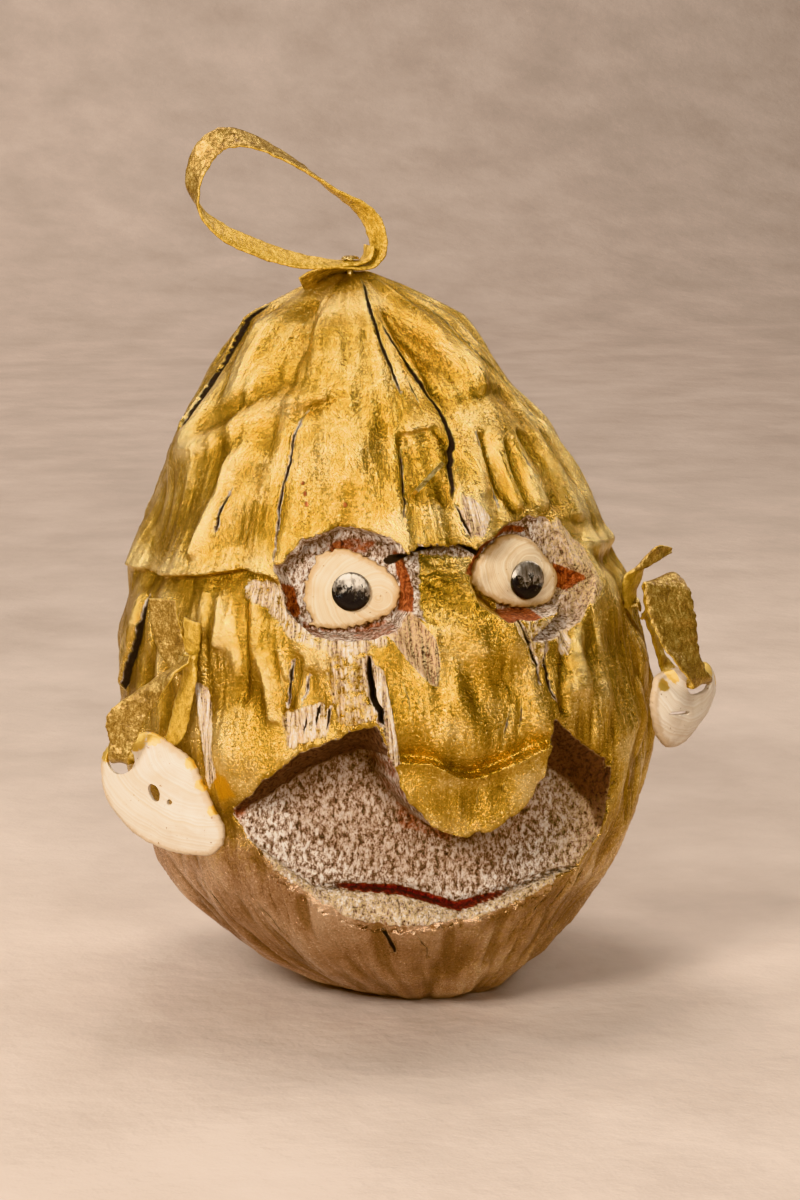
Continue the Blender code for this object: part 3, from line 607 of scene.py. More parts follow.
def crack_snap(points, cell):
    """Skin points beside a crack move onto it and down into it. Returns how much crack each point is."""
    u, _, _ = skin_places(points)
    angle = u / TURN * 360 - 180
    reach = np.interp(points[:, 2], skin_z[0], climb)
    scale = np.maximum(np.interp(points[:, 2], profile_z, profile_r), 4) * math.pi / 180
    on_skin = np.abs(body_field(points)) < 0.4
    crack = np.zeros(len(points))
    rng = np.random.default_rng(5)
    for line, half, depth in CRACKS:
        line = wobbled(line, rng)
        total = len(line) - 1
        best = np.full(len(points), 1e6)
        target = np.zeros((len(points), 3))
        for i, ((a0, z0), (a1, z1)) in enumerate(zip(line, line[1:])):
            s0, s1 = np.interp([z0, z1], skin_z[0], climb)
            px = ((angle - a0 + 180) % 360 - 180) * scale
            py = reach - s0
            qx, qy = (a1 - a0) * scale, s1 - s0
            t = np.clip((px * qx + py * qy) / (qx * qx + qy * qy + 1e-9), 0, 1)
            gap = np.hypot(px - t * qx, py - t * qy)
            nearer = gap < best
            best = np.where(nearer, gap, best)
            for k, value in enumerate((a0 + (a1 - a0) * t, s0 + (s1 - s0) * t, (i + t) / total)):
                target[nearer, k] = value[nearer] if np.ndim(value) else value
        taper = np.maximum(np.sin(target[:, 2] * math.pi), 0) ** 0.4
        take = on_skin & (best < 0.62 * cell) & (taper > 0.15)
        z = np.interp(target[take, 1], climb, skin_z[0])
        turned = np.radians(target[take, 0])
        outer = sample(outer_map, (target[take, 0] + 180) / 360 * TURN, z / SKIN_CELL, True)
        outer = outer - depth * taper[take] * (0.75 + 0.25 * rng.random(take.sum()))
        points[take] = np.stack([
            np.interp(z, axis_z, axis_x) + outer * np.sin(turned), -outer * np.cos(turned), z,
        ], axis=1)
        crack[take] = np.maximum(crack[take], np.clip(half / 0.5, 0.45, 1.6) * taper[take])
        wide = on_skin & ~take & (best < half * 1.4)
        sunk = depth * 0.6 * taper[wide] * (1 - best[wide] / (half * 1.4))
        points[wide] -= outward(points[wide]) * sunk[:, None]
        crack[wide] = np.maximum(crack[wide], taper[wide] * (1.3 - best[wide] / (half * 1.4)))
    return crack


def outward(points):
    dx = points[:, 0] - np.interp(points[:, 2], axis_z, axis_x)
    made = np.stack([dx, points[:, 1], np.zeros(len(points))], axis=1)
    return made / np.maximum(np.linalg.norm(made, axis=1), 1e-6)[:, None]


def wobbled(line, rng):
    """The line with points every few mm, each a little off it."""
    made = []
    for (a0, z0), (a1, z1) in zip(line, line[1:]):
        count = max(1, round(math.hypot((a1 - a0) * 1.4, z1 - z0) / 2.5))
        for i in range(count):
            t = i / count
            made.append((a0 + (a1 - a0) * t + rng.normal(0, 0.16), z0 + (z1 - z0) * t + rng.normal(0, 0.2)))
    made.append(line[-1])
    return made


def mesh_object(name, points, faces, material):
    """Points in mm and faces as an object in metres."""
    mesh = bpy.data.meshes.new(name)
    faces = np.asarray(faces)
    mesh.vertices.add(len(points))
    mesh.vertices.foreach_set("co", (np.asarray(points) * MM).astype(np.float32).ravel())
    mesh.loops.add(faces.size)
    mesh.loops.foreach_set("vertex_index", faces.astype(np.int32).ravel())
    mesh.polygons.add(len(faces))
    mesh.polygons.foreach_set("loop_start", (np.arange(len(faces)) * faces.shape[1]).astype(np.int32))
    mesh.update(calc_edges=True)
    mesh.validate()
    mesh.polygons.foreach_set("use_smooth", np.full(len(mesh.polygons), True))
    made = bpy.data.objects.new(name, mesh)
    bpy.context.scene.collection.objects.link(made)
    mesh.materials.append(material)
    return made


def listed_mesh(name, verts, faces, material):
    """Corners in metres and faces of any number of sides as a smooth object."""
    mesh = bpy.data.meshes.new(name)
    mesh.from_pydata(verts, [], faces)
    mesh.polygons.foreach_set("use_smooth", [True] * len(mesh.polygons))
    mesh.materials.append(material)
    made = bpy.data.objects.new(name, mesh)
    bpy.context.scene.collection.objects.link(made)
    return made


def set_attribute(obj, name, values):
    """Numbers or vectors, one for each corner, for a material to read."""
    values = np.asarray(values, np.float32)
    if values.ndim == 2:
        obj.data.attributes.new(name, "FLOAT_VECTOR", "POINT").data.foreach_set("vector", values.ravel())
    else:
        obj.data.attributes.new(name, "FLOAT", "POINT").data.foreach_set("value", values)


# ---------------------------------------------------------------- materials


class Look:
    """A node material, with short ways to add its texture and colour nodes."""

    def __init__(self, name, roughness=0.5, metallic=0.0):
        self.material = bpy.data.materials.new(name)
        self.material.use_nodes = True
        self.tree = self.material.node_tree
        self.shader = self.tree.nodes["Principled BSDF"]
        self.shader.inputs["Roughness"].default_value = roughness
        self.shader.inputs["Metallic"].default_value = metallic

    def node(self, kind, **settings):
        made = self.tree.nodes.new(kind)
        for key, value in settings.items():
            setattr(made, key, value)
        return made

    def feed(self, socket, value):
        if isinstance(value, bpy.types.NodeSocket):
            self.tree.links.new(value, socket)
        elif isinstance(value, tuple) and len(value) == 3 and socket.type == "RGBA":
            socket.default_value = (*value, 1)
        else:
            socket.default_value = value

    def set(self, name, value):
        self.feed(self.shader.inputs[name], value)

    def place(self, scale):
        """Rest position in mm, stretched by scale."""
        coords = self.node("ShaderNodeTexCoord")
        mapping = self.node("ShaderNodeMapping")
        self.feed(mapping.inputs["Vector"], coords.outputs["Object"])
        mapping.inputs["Scale"].default_value = [1000 * value for value in scale]
        return mapping.outputs["Vector"]

    def attribute(self, name, vector=False):
        made = self.node("ShaderNodeAttribute", attribute_name=name)
        return made.outputs["Vector" if vector else "Fac"]

    def scaled(self, vector, scale):
        mapping = self.node("ShaderNodeMapping")
        self.feed(mapping.inputs["Vector"], vector)
        mapping.inputs["Scale"].default_value = scale
        return mapping.outputs["Vector"]

    def noise(self, vector, scale, detail=2.0, roughness=0.5, distortion=0.0):
        made = self.node("ShaderNodeTexNoise")
        self.feed(made.inputs["Vector"], vector)
        made.inputs["Scale"].default_value = scale
        made.inputs["Detail"].default_value = detail
        made.inputs["Roughness"].default_value = roughness
        made.inputs["Distortion"].default_value = distortion
        return made.outputs["Fac"]

    def voronoi(self, vector, scale):
        made = self.node("ShaderNodeTexVoronoi", feature="F1")
        self.feed(made.inputs["Vector"], vector)
        made.inputs["Scale"].default_value = scale
        return made.outputs["Distance"]

    def ramp(self, factor, stops):
        made = self.node("ShaderNodeValToRGB")
        elements = made.color_ramp.elements
        while len(elements) < len(stops):
            elements.new(0.5)
        for element, (place, colour) in zip(elements, stops):
            element.position = place
            element.color = (*colour, 1) if isinstance(colour, tuple) else (colour, colour, colour, 1)
        self.feed(made.inputs["Fac"], factor)
        return made.outputs["Color"]

    def maths(self, operation, a, b=0.0):
        made = self.node("ShaderNodeMath", operation=operation)
        self.feed(made.inputs[0], a)
        self.feed(made.inputs[1], b)
        return made.outputs[0]

    def mix(self, factor, a, b, blend="MIX"):
        made = self.node("ShaderNodeMix", data_type="RGBA", blend_type=blend)
        self.feed(made.inputs["Factor"], factor)
        self.feed(made.inputs[6], a)
        self.feed(made.inputs[7], b)
        return made.outputs[2]

    def blend(self, factor, a, b):
        made = self.node("ShaderNodeMix", data_type="FLOAT")
        self.feed(made.inputs["Factor"], factor)
        self.feed(made.inputs[2], a)
        self.feed(made.inputs[3], b)
        return made.outputs[0]

    def ragged(self, mask, noise, amount=0.5, soft=0.08):
        """A mask whose edge is broken up by noise."""
        shifted = self.maths("ADD", mask, self.maths("MULTIPLY", self.maths("SUBTRACT", noise, 0.5), amount))
        made = self.node("ShaderNodeMapRange", interpolation_type="SMOOTHSTEP")
        self.feed(made.inputs["Value"], shifted)
        made.inputs["From Min"].default_value = 0.5 - soft
        made.inputs["From Max"].default_value = 0.5 + soft
        return made.outputs["Result"]

    def bump(self, height, distance, strength=1.0):
        made = self.node("ShaderNodeBump")
        self.feed(made.inputs["Height"], height)
        self.feed(made.inputs["Strength"], strength)
        made.inputs["Distance"].default_value = distance * MM
        self.feed(self.shader.inputs["Normal"], made.outputs["Normal"])
        return made


def husk_material():
    look = Look("gold_husk")
    mm = look.place((1, 1, 1))
    grain = look.attribute("grain", vector=True)
    ridge = look.attribute("ridge")
    patches = look.noise(mm, 0.05, 3, 0.6)
    streaks = look.noise(grain, 0.5, 3, 0.65)
    grit = look.noise(mm, 1.25, 3, 0.75)
    fine = look.noise(mm, 0.42, 4, 0.7)
    tone = look.maths("ADD", look.maths("MULTIPLY", patches, 0.42), look.maths("MULTIPLY", streaks, 0.10))
    tone = look.maths("ADD", tone, look.maths("MULTIPLY", grit, 0.48))
    # Painted light: the gold is a little lighter on ridges of the relief.
    tone = look.maths("ADD", tone, look.maths("MULTIPLY", ridge, 0.05))
    gold = look.ramp(tone, [
        (0.36, (0.26, 0.135, 0.018)), (0.45, (0.44, 0.257, 0.050)), (0.52, (0.62, 0.400, 0.112)),
        (0.62, (0.88, 0.665, 0.30)),
    ])
    copper = look.ramp(tone, [
        (0.36, (0.30, 0.165, 0.095)), (0.47, (0.52, 0.330, 0.205)), (0.55, (0.66, 0.450, 0.290)),
        (0.65, (0.82, 0.62, 0.43)),
    ])
    gold = look.mix(look.ragged(look.attribute("copper"), fine, 0.9, 0.35), gold, copper)
    gold = look.mix(look.ragged(look.attribute("orange"), fine, 0.9, 0.25), gold, (0.66, 0.34, 0.03))
    # Painted shade: the gold is darkened towards dark brown in the hollows of the relief, broken up by fine
    # noise.
    crease_shade_amount = look.maths("SUBTRACT", look.maths("MULTIPLY", fine, 0.6), ridge)
    painted_crease_shade = look.ramp(crease_shade_amount, [(0.6, 0.0), (1.7, 0.4)])
    gold = look.mix(painted_crease_shade, gold, (0.22, 0.115, 0.025))
    worn = look.ramp(fine, [(0.29, 0.45), (0.34, 0.0)])
    gold = look.mix(worn, gold, (0.20, 0.09, 0.03))

    ends = look.noise(look.place((1, 1, 0.6)), 0.75, 5, 0.8)
    threads = look.noise(look.scaled(grain, (1, 1, 1.2)), 0.85, 4, 0.78)
    threads = look.blend(look.attribute("threads"), ends, threads)
    fibre = look.ramp(threads, [
        (0.39, (0.035, 0.012, 0.007)), (0.44, (0.22, 0.10, 0.056)), (0.485, (0.50, 0.32, 0.22)),
        (0.53, (0.84, 0.68, 0.55)), (0.60, (1.0, 0.94, 0.87)),
    ])
    # Darker fibre, for stains and for painted shade.
    stained_and_shaded = look.mix(1.0, fibre, (0.50, 0.30, 0.17), "MULTIPLY")
    fibre = look.mix(look.attribute("stain"), fibre, stained_and_shaded)
    dusted = look.maths("MULTIPLY", look.ramp(grit, [(0.44, 0.0), (0.56, 1.0)]), look.attribute("dust"))
    fibre = look.mix(dusted, fibre, (0.82, 0.62, 0.33))
    red = look.ramp(threads, [
        (0.38, (0.05, 0.010, 0.005)),
        (0.50, (0.34, 0.070, 0.018)),
        (0.64, (0.74, 0.27, 0.10)),
    ])
    blood = look.ramp(threads, [
        (0.38, (0.02, 0.002, 0.002)),
        (0.50, (0.17, 0.006, 0.005)),
        (0.66, (0.50, 0.035, 0.022)),
    ])
    red = look.mix(look.attribute("crimson"), red, blood)

    fibre_share = look.ragged(look.attribute("fibre"), fine, 0.9, 0.10)
    red_share = look.ragged(look.attribute("red"), fine, 1.0, 0.20)
    crack_and_shadow_share = look.ragged(look.attribute("crack"), fine, 0.5, 0.18)
    colour = look.mix(fibre_share, gold, fibre)
    colour = look.mix(red_share, colour, red)
    # Painted shade: the colour is darkened where the shade attribute lies.
    colour = look.mix(look.attribute("shade"), colour, look.mix(1.0, colour, (0.20, 0.11, 0.07), "MULTIPLY"))
    # Near-black in cracks, and as painted shade along the slit and painted shadow under the brow.
    colour = look.mix(crack_and_shadow_share, colour, (0.020, 0.010, 0.005))
    look.set("Base Color", colour)
    bare = look.maths("MAXIMUM", look.maths("MAXIMUM", fibre_share, red_share), crack_and_shadow_share)
    shiny = look.maths("MULTIPLY", look.maths("SUBTRACT", 1.0, bare), 0.9)
    look.set("Metallic", look.maths("MAXIMUM", shiny, look.maths("MULTIPLY", dusted, 0.55)))
    gold_rough = look.maths("ADD", 0.10, look.maths("MULTIPLY", grit, 0.26))
    look.set("Roughness", look.blend(bare, gold_rough, 0.8))
    height_gold = look.maths("ADD", look.maths("MULTIPLY", streaks, 0.45), look.maths("MULTIPLY", grit, 0.42))
    height_gold = look.maths("ADD", height_gold, look.maths("MULTIPLY", fine, 0.42))
    look.bump(look.blend(bare, height_gold, look.maths("MULTIPLY", threads, 1.6)), 1.0)
    return look.material


def shell_material(name, light, deep, stain, ring_scale, ring_strength):
    """Shell with growth rings round the point its ring attribute is measured from."""
    look = Look(name, roughness=0.34)
    mm = look.place((1, 1, 1))
    wobble = look.noise(mm, 0.12, 2, 0.5)
    rings = look.maths("ADD", look.attribute("ring"), look.maths("MULTIPLY", wobble, 2.6))
    combined = look.node("ShaderNodeCombineXYZ")
    look.feed(combined.inputs[0], rings)
    bands = look.noise(combined.outputs[0], ring_scale, 4, 0.72)
    broad = look.noise(mm, 0.09, 3, 0.6)
    colour = look.mix(look.ramp(bands, [(0.36, 0.0), (0.64, 1.0)]), deep, light)
    colour = look.mix(look.ramp(broad, [(0.46, 0.0), (0.72, 0.5)]), colour, stain)
    edge = look.ragged(look.attribute("edge"), look.noise(mm, 0.6, 3, 0.7), 0.9, 0.3)
    colour = look.mix(look.maths("MULTIPLY", edge, 0.75), colour, stain)
    spots = look.ramp(look.noise(mm, 0.75, 2, 0.5), [(0.26, 1.0), (0.31, 0.0)])
    colour = look.mix(look.maths("MULTIPLY", spots, 0.8), colour, (0.30, 0.15, 0.06))
    gilt = look.ragged(look.attribute("gilt"), look.noise(mm, 0.8, 3, 0.7), 0.8, 0.08)
    colour = look.mix(gilt, colour, (0.85, 0.58, 0.17))
    look.set("Base Color", colour)
    look.set("Metallic", look.maths("MULTIPLY", gilt, 0.75))
    grit = look.noise(mm, 1.6, 2, 0.6)
    look.set("Roughness", look.maths("ADD", 0.26, look.maths("MULTIPLY", grit, 0.3)))
    height = look.maths("MULTIPLY", bands, ring_strength)
    height = look.maths("ADD", height, look.maths("MULTIPLY", grit, 0.12))
    look.bump(height, 0.45)
    return look.material


def leather_material():
    """Gilded leather: bright suede on the inner face and the cut edges, dark grain on the outer face."""
    look = Look("gold_leather")
    mm = look.place((1, 1, 1))
    grain = look.voronoi(mm, 0.75)
    crease = look.noise(look.place((1, 1, 0.6)), 0.5, 4, 0.65, 0.6)
    flakes = look.noise(mm, 2.2, 2, 0.6)
    tone = look.maths("ADD", look.maths("MULTIPLY", crease, 0.6), look.maths("MULTIPLY", flakes, 0.4))
    suede = look.ramp(tone, [
        (0.34, (0.30, 0.16, 0.025)),
        (0.50, (0.58, 0.36, 0.07)),
        (0.66, (0.82, 0.58, 0.18)),
    ])
    outer = look.ramp(tone, [
        (0.36, (0.13, 0.065, 0.018)),
        (0.50, (0.34, 0.20, 0.055)),
        (0.64, (0.70, 0.50, 0.19)),
    ])
    side = look.ragged(look.attribute("outer"), crease, 0.35, 0.15)
    look.set("Base Color", look.mix(side, suede, outer))
    look.set("Metallic", look.blend(side, 0.25, look.maths("MULTIPLY", tone, 1.1)))
    look.set("Roughness", look.maths("ADD", 0.30, look.maths("MULTIPLY", flakes, 0.3)))
    height = look.maths("ADD", look.maths("MULTIPLY", grain, 0.45), look.maths("MULTIPLY", crease, 0.7))
    look.bump(height, 0.5)
    return look.material


def tack_material():
    """A tack head: a black coat on its lower side, and bare grey metal on its upper side as a painted
    reflection of the light overhead.
    """
    look = Look("black_tack")
    chips = look.noise(look.place((1, 1, 0.7)), 0.5, 5, 0.8)
    black_below_painted_reflection = look.ragged(look.attribute("black_below_painted_reflection"), chips, 2.6, 0.10)
    smear = look.noise(look.place((1.4, 1.4, 0.5)), 0.5, 3, 0.6)
    metal = look.ramp(smear, [
        (0.35, (0.20, 0.165, 0.13)),
        (0.55, (0.44, 0.385, 0.32)),
        (0.7, (0.66, 0.59, 0.50)),
    ])
    look.set("Base Color", look.mix(black_below_painted_reflection, metal, (0.008, 0.008, 0.010)))
    look.set("Metallic", look.maths("SUBTRACT", 0.85, look.maths("MULTIPLY", black_below_painted_reflection, 0.85)))
    look.set("Roughness", look.blend(black_below_painted_reflection, 0.3, 0.12))
    look.bump(look.maths("ADD", chips, black_below_painted_reflection), 0.25)
    return look.material


def steel_material():
    """Worn steel with gold paint left on it."""
    look = Look("gilded_steel")
    mm = look.place((1, 1, 1))
    wear = look.noise(mm, 0.9, 3, 0.7)
    look.set("Base Color", look.ramp(wear, [
        (0.36, (0.16, 0.08, 0.03)),
        (0.5, (0.62, 0.44, 0.16)),
        (0.66, (0.90, 0.74, 0.42)),
    ]))
    look.set("Metallic", look.ramp(wear, [(0.34, 0.3), (0.46, 0.95)]))
    look.set("Roughness", look.maths("ADD", 0.25, look.maths("MULTIPLY", wear, 0.3)))
    look.bump(wear, 0.2)
    return look.material


def backdrop_material():
    look = Look("backdrop", roughness=0.9)
    cloth = look.noise(look.place((1, 1, 1)), 0.012, 4, 0.6)
    look.set("Base Color", look.ramp(cloth, [(0.3, (0.47, 0.375, 0.31)), (0.7, (0.58, 0.47, 0.395))]))
    look.bump(look.noise(look.place((1, 1, 1)), 0.06, 4, 0.6), 3.0, 0.5)
    return look.material


gold_husk = husk_material()
eye_ivory = shell_material("eye_shell", (0.87, 0.75, 0.55), (0.66, 0.46, 0.25), (0.48, 0.28, 0.11), 1.15, 0.7)
ear_ivory = shell_material("ear_shell", (0.86, 0.78, 0.66), (0.68, 0.54, 0.38), (0.52, 0.36, 0.21), 1.0, 0.45)
gold_leather = leather_material()
black_tack = tack_material()
gilded_steel = steel_material()

# ---------------------------------------------------------------- husk

husk_cell = 1.0


def husk_masks(points, crack):
    """Where raw fibre, paint, stains, painted light and painted shade lie, as point attributes from 0 to 1.
    """
    u, v, _ = skin_places(points)
    angle = u / TURN * 360 - 180
    x, z = points[:, 0], points[:, 2]
    depth = -body_field(points)
    read = face_reader(points)
    carved = smooth(depth, 0.25, 0.75) * (points[:, 1] < 0)

    def skin(outline, edge=1.5):
        return sample(skin_patch(outline, edge), u, v, True)

    def face(outline, edge=1.2):
        return read(face_patch(outline, edge))

    wedge = skin([
        (-16.5, 148), (-13.4, 140), (-9.6, 131), (-6, 124.4), (-3.6, 121.4), (-2.7, 130), (-3.2, 137),
        (-6, 143), (-9, 148),
    ], 1)
    stripes = skin([(-28, 132), (-17.4, 133), (-15.2, 112), (-24.4, 107)], 2.5)
    band = skin([
        (-47, 154), (-37, 154), (-33, 147), (-24, 142), (-13, 142), (-13, 134), (-24, 132), (-34, 136),
        (-41, 144), (-48, 147),
    ], 2)
    torn = skin([(-37, 113), (-27, 118), (-26, 106), (-36, 100)], 2)
    side_wall = skin([(-18, 131), (-14.4, 128), (-13.2, 112), (-12.4, 98), (-14.2, 96), (-15.6, 111)], 0.8)
    facets = skin([(13.5, 143), (25, 140), (24, 131), (18.5, 122), (16, 132)], 1.2)
    chips = skin([(24, 140), (32, 141), (31, 131), (27, 126)], 1.5)
    bark = skin([(-60, 120), (-55.5, 118), (-53, 104), (-51.6, 90), (-55, 83), (-57.6, 97)], 2)
    eyebrow = skin([(9.5, 181), (13, 179), (16.5, 173), (13, 167), (8.4, 168)], 1.5)
    temple = skin([(33, 168), (40, 171), (47, 158), (46, 146), (40, 140), (35, 146)], 2)
    fibre_skin = 1.1 * wedge + 0.50 * stripes + 0.55 * band + 0.6 * torn + 0.9 * side_wall + 0.5 * facets
    fibre_skin = np.clip(fibre_skin + 0.6 * chips + 0.75 * bark + 0.85 * eyebrow + 0.6 * temple, 0, 1)

    mouth_edge = read(mouth_gap)
    low_edge = smooth(mouth_edge, -2.6, -0.6) * smooth(66 - z, 0, 8)
    lip = np.clip(read(lip_map.astype(np.float32)), 0, 1)
    bridge_gold = face([(-19, 138), (10, 138), (9, 150), (3, 160), (-18, 162), (-21, 147)], 2)
    gold_carved = np.clip(low_edge + 0.36 * lip + 0.8 * bridge_gold, 0, 1)
    fibre = (1 - gold_carved) * carved + fibre_skin * (1 - carved)
    fibre = fibre * (points[:, 1] < 20)

    in_hollow = smooth(depth, 0.1, 0.6)

    def inside(outline, edge=1.0):
        return face(outline, edge) * in_hollow

    red = inside([
        (-27, 164), (-23.4, 161), (-21.6, 152), (-22.6, 146), (-25.5, 143.6), (-25.0, 151),
        (-25.8, 158),
    ], 0.8)
    red = red + 0.5 * inside([
        (-57, 143), (-54, 137), (-44, 136), (-34, 136.6), (-27, 139.4), (-28, 141.6), (-36, 139),
        (-46, 138.2), (-54, 140),
    ], 0.6)
    red = red + inside([(-62, 153), (-57.5, 141), (-54.5, 142), (-56.5, 151)])
    red = red + 0.62 * inside([(-47, 165), (-39, 167.5), (-31, 166.4), (-34, 162), (-45, 161.6)])
    red = red + 0.85 * inside([
        (-4, 155), (3, 164.5), (12, 169.5), (22, 167.5), (20, 166), (12, 166.6), (5, 162), (0, 154),
    ], 0.7)
    red = red + inside([(31, 155), (43, 150), (34, 146), (30, 148)])
    red = red + 0.75 * inside([(6, 142), (21, 141.6), (22, 139.6), (8, 139.6)], 0.6)
    red = red + 0.5 * inside([(-36, 112), (-30.5, 108), (-23.5, 84), (-27, 82), (-33, 96)], 2)
    red = red + 0.52 * inside([(-24, 80), (-8, 72), (4, 73.6), (9, 69), (-6, 64), (-22, 69)], 2)
    red = red + 0.52 * inside([(-83, 72), (-76, 82), (-66, 86), (-74, 72)], 2)
    lip_gap, lip_share, lip_side = face_line(SLIT)
    width = 2.3 * np.sqrt(np.maximum(np.sin(np.clip(lip_share * 1.4, 0, 1) * math.pi), 0))
    slit = read(smooth(width - np.where(lip_side > 0, lip_gap, lip_gap * 5), -0.6, 1.0)) * in_hollow
    slit = slit * smooth(x, -47, -40)
    # Painted shade: a dark line along the bottom of the slit.
    slit_shade = read(smooth(1.0 - np.where(lip_side > 0, lip_gap, lip_gap * 4), -0.5, 0.5)) * in_hollow
    # Painted shadow: a dark band under the overhang of the brow, above the bridge.
    below_brow, _, _ = face_line([(-28, 160), (-20, 163.6), (-8, 165.6), (-3, 164.8), (2, 161.5)])
    brow_undercut_shadow = read(smooth(1.5 - below_brow, -0.5, 0.6)) * smooth(depth, 0.2, 0.8)
    dots = sum(
        np.exp(-(((angle - a) * 1.5) ** 2 + (z - h) ** 2) / 0.9)
        for a, h in ((-33, 184), (-31.4, 178), (-21, 178), (-75, 173), (-32, 181))
    )
    # Painted shade: on the mouth's upper sloping walls, near the top of the mouth under the cheek, in the
    # hollow above the right eye plate and under the nose.
    wall = smooth(read(mouth_bottom_gap), -0.8, 0.6) * smooth(-mouth_edge, -0.5, 0.8) * carved * (z > 62)
    near_top = smooth(read(mouth_bottom_gap), -9, 0) * smooth(-mouth_edge, 0, 1) * carved * smooth(z, 72, 90)
    above_plates = smooth(depth, 2.5, 5) * face([
        (-66, 158), (-52, 176), (-20, 174), (-20, 160), (-36, 163), (-52, 160),
    ], 2)
    under_nose = inside([
        (-30, 90), (-20, 74), (-8, 69), (6, 71), (16, 78), (22, 90), (14, 84), (3, 77), (-9, 74),
        (-19, 78),
    ], 2.5)
    shade = np.clip(0.85 * wall + 0.45 * near_top + 0.5 * above_plates + 0.4 * under_nose, 0, 1)
    copper = smooth(100 - z, 0, 64) * (0.62 + 0.32 * smooth(-x, -30, 60))
    copper = copper + 0.22 * smooth(np.abs(angle), 70, 130)
    # Where the painted ridge light and shade is weakened: over the crown and over the nose.
    calm = 1 - 0.6 * skin([(-60, 236), (60, 236), (30, 180), (-50, 180)], 6)
    calm = calm - 0.85 * skin([(-15, 143), (22, 140), (21, 92), (-15, 92)], 3)
    dust = 0.12 + 0.6 * (1 - carved) + 0.4 * smooth(x, 15, 45) + low_edge
    dust = dust + 0.7 * lip + 0.5 * bridge_gold + 0.4 * temple
    # Darker fibre: a stain on the wedge beside the nose, and painted shade towards the figure's left side and
    # in the deepest carving.
    stain = 0.75 * smooth(x, 22, 44) + 0.85 * wedge * (1 - carved) + 0.5 * smooth(depth, 10, 17)
    return {
        "fibre": fibre,
        "red": np.clip(red + slit + dots, 0, 1),
        "crimson": np.clip(slit, 0, 1),
        # Cracks, with the painted shade along the slit and the painted shadow under the brow.
        "crack": np.clip(crack + 0.55 * slit_shade + 0.9 * brow_undercut_shadow, 0, 1.5),
        "threads": np.clip(1 - carved, 0, 1),
        "stain": np.clip(stain, 0, 1),
        "dust": np.clip(dust, 0, 1),
        "shade": shade,
        # Painted light and shade for the gold: above 0 on ridges of the relief, below 0 in its hollows.
        "ridge": np.clip(sample(ridge_map, u, v, True), -1.5, 1.5) * (1 - carved) * calm,
        "copper": copper,
        "orange": skin([(-54, 91), (-49, 90), (-48, 83), (-52, 81)], 2.5),
    }


points, quads = husk_surface(husk_cell)
crack = crack_snap(points, husk_cell)
husk = mesh_object("husk_look", points, quads, gold_husk)
for mask_name, mask in husk_masks(points, crack).items():
    set_attribute(husk, mask_name, mask)
turned = np.arctan2(points[:, 0] - np.interp(points[:, 2], axis_z, axis_x), -points[:, 1])
set_attribute(husk, "grain", np.stack([
    np.sin(turned) * 88, -np.cos(turned) * 88, np.interp(points[:, 2], skin_z[0], climb) * 0.07,
], axis=1))
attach(husk, "head")
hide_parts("husk")

# ---------------------------------------------------------------- eyes and ear shells


def facing(centre, faces):
    """The plate's own axes in mm: X along its width, Y up it and Z out of its face."""
    out = Vector(faces).normalized()
    side = Vector((0, 0, 1)).cross(out).normalized()
    return np.array([side, out.cross(side), out]).T, np.array(centre, float)


def outline_field(outline, x, y):
    """Signed distance in a plate's plane, and how far out from its middle each place is, from 0 to 1."""
    best = np.full(x.shape, 1e6)
    inside = np.zeros(x.shape, bool)
    for (x0, y0), (x1, y1) in zip(outline, outline[1:] + outline[:1]):
        qx, qy = x1 - x0, y1 - y0
        t = np.clip(((x - x0) * qx + (y - y0) * qy) / (qx * qx + qy * qy), 0, 1)
        best = np.minimum(best, np.hypot(x - x0 - t * qx, y - y0 - t * qy))
        crosses = (y0 > y) != (y1 > y)
        inside ^= crosses & (x < x0 + (y - y0) * (x1 - x0) / ((y1 - y0) or 1e-6))
    gap = np.where(inside, -best, best)
    spread = np.clip(1 + gap / np.abs(gap.min()), 0, 1)
    return gap, spread


def spline_point(p, q, r, s, t):
    """A point from q to r on the smooth curve through four points."""
    bend = 2 * p - 5 * q + 4 * r - s
    twist = 3 * q - p - 3 * r + s
    return 0.5 * (2 * q + (r - p) * t + bend * t ** 2 + twist * t ** 3)


def rounded_outline(outline, steps=4):
    """The outline as a smooth closed curve through its points."""
    made = []
    count = len(outline)
    for i in range(count):
        p, q, r, s = (np.array(outline[(i + k) % count], float) for k in (-1, 0, 1, 2))
        for step_number in range(steps):
            t = step_number / steps
            made.append(tuple(spline_point(p, q, r, s, t)))
    return made


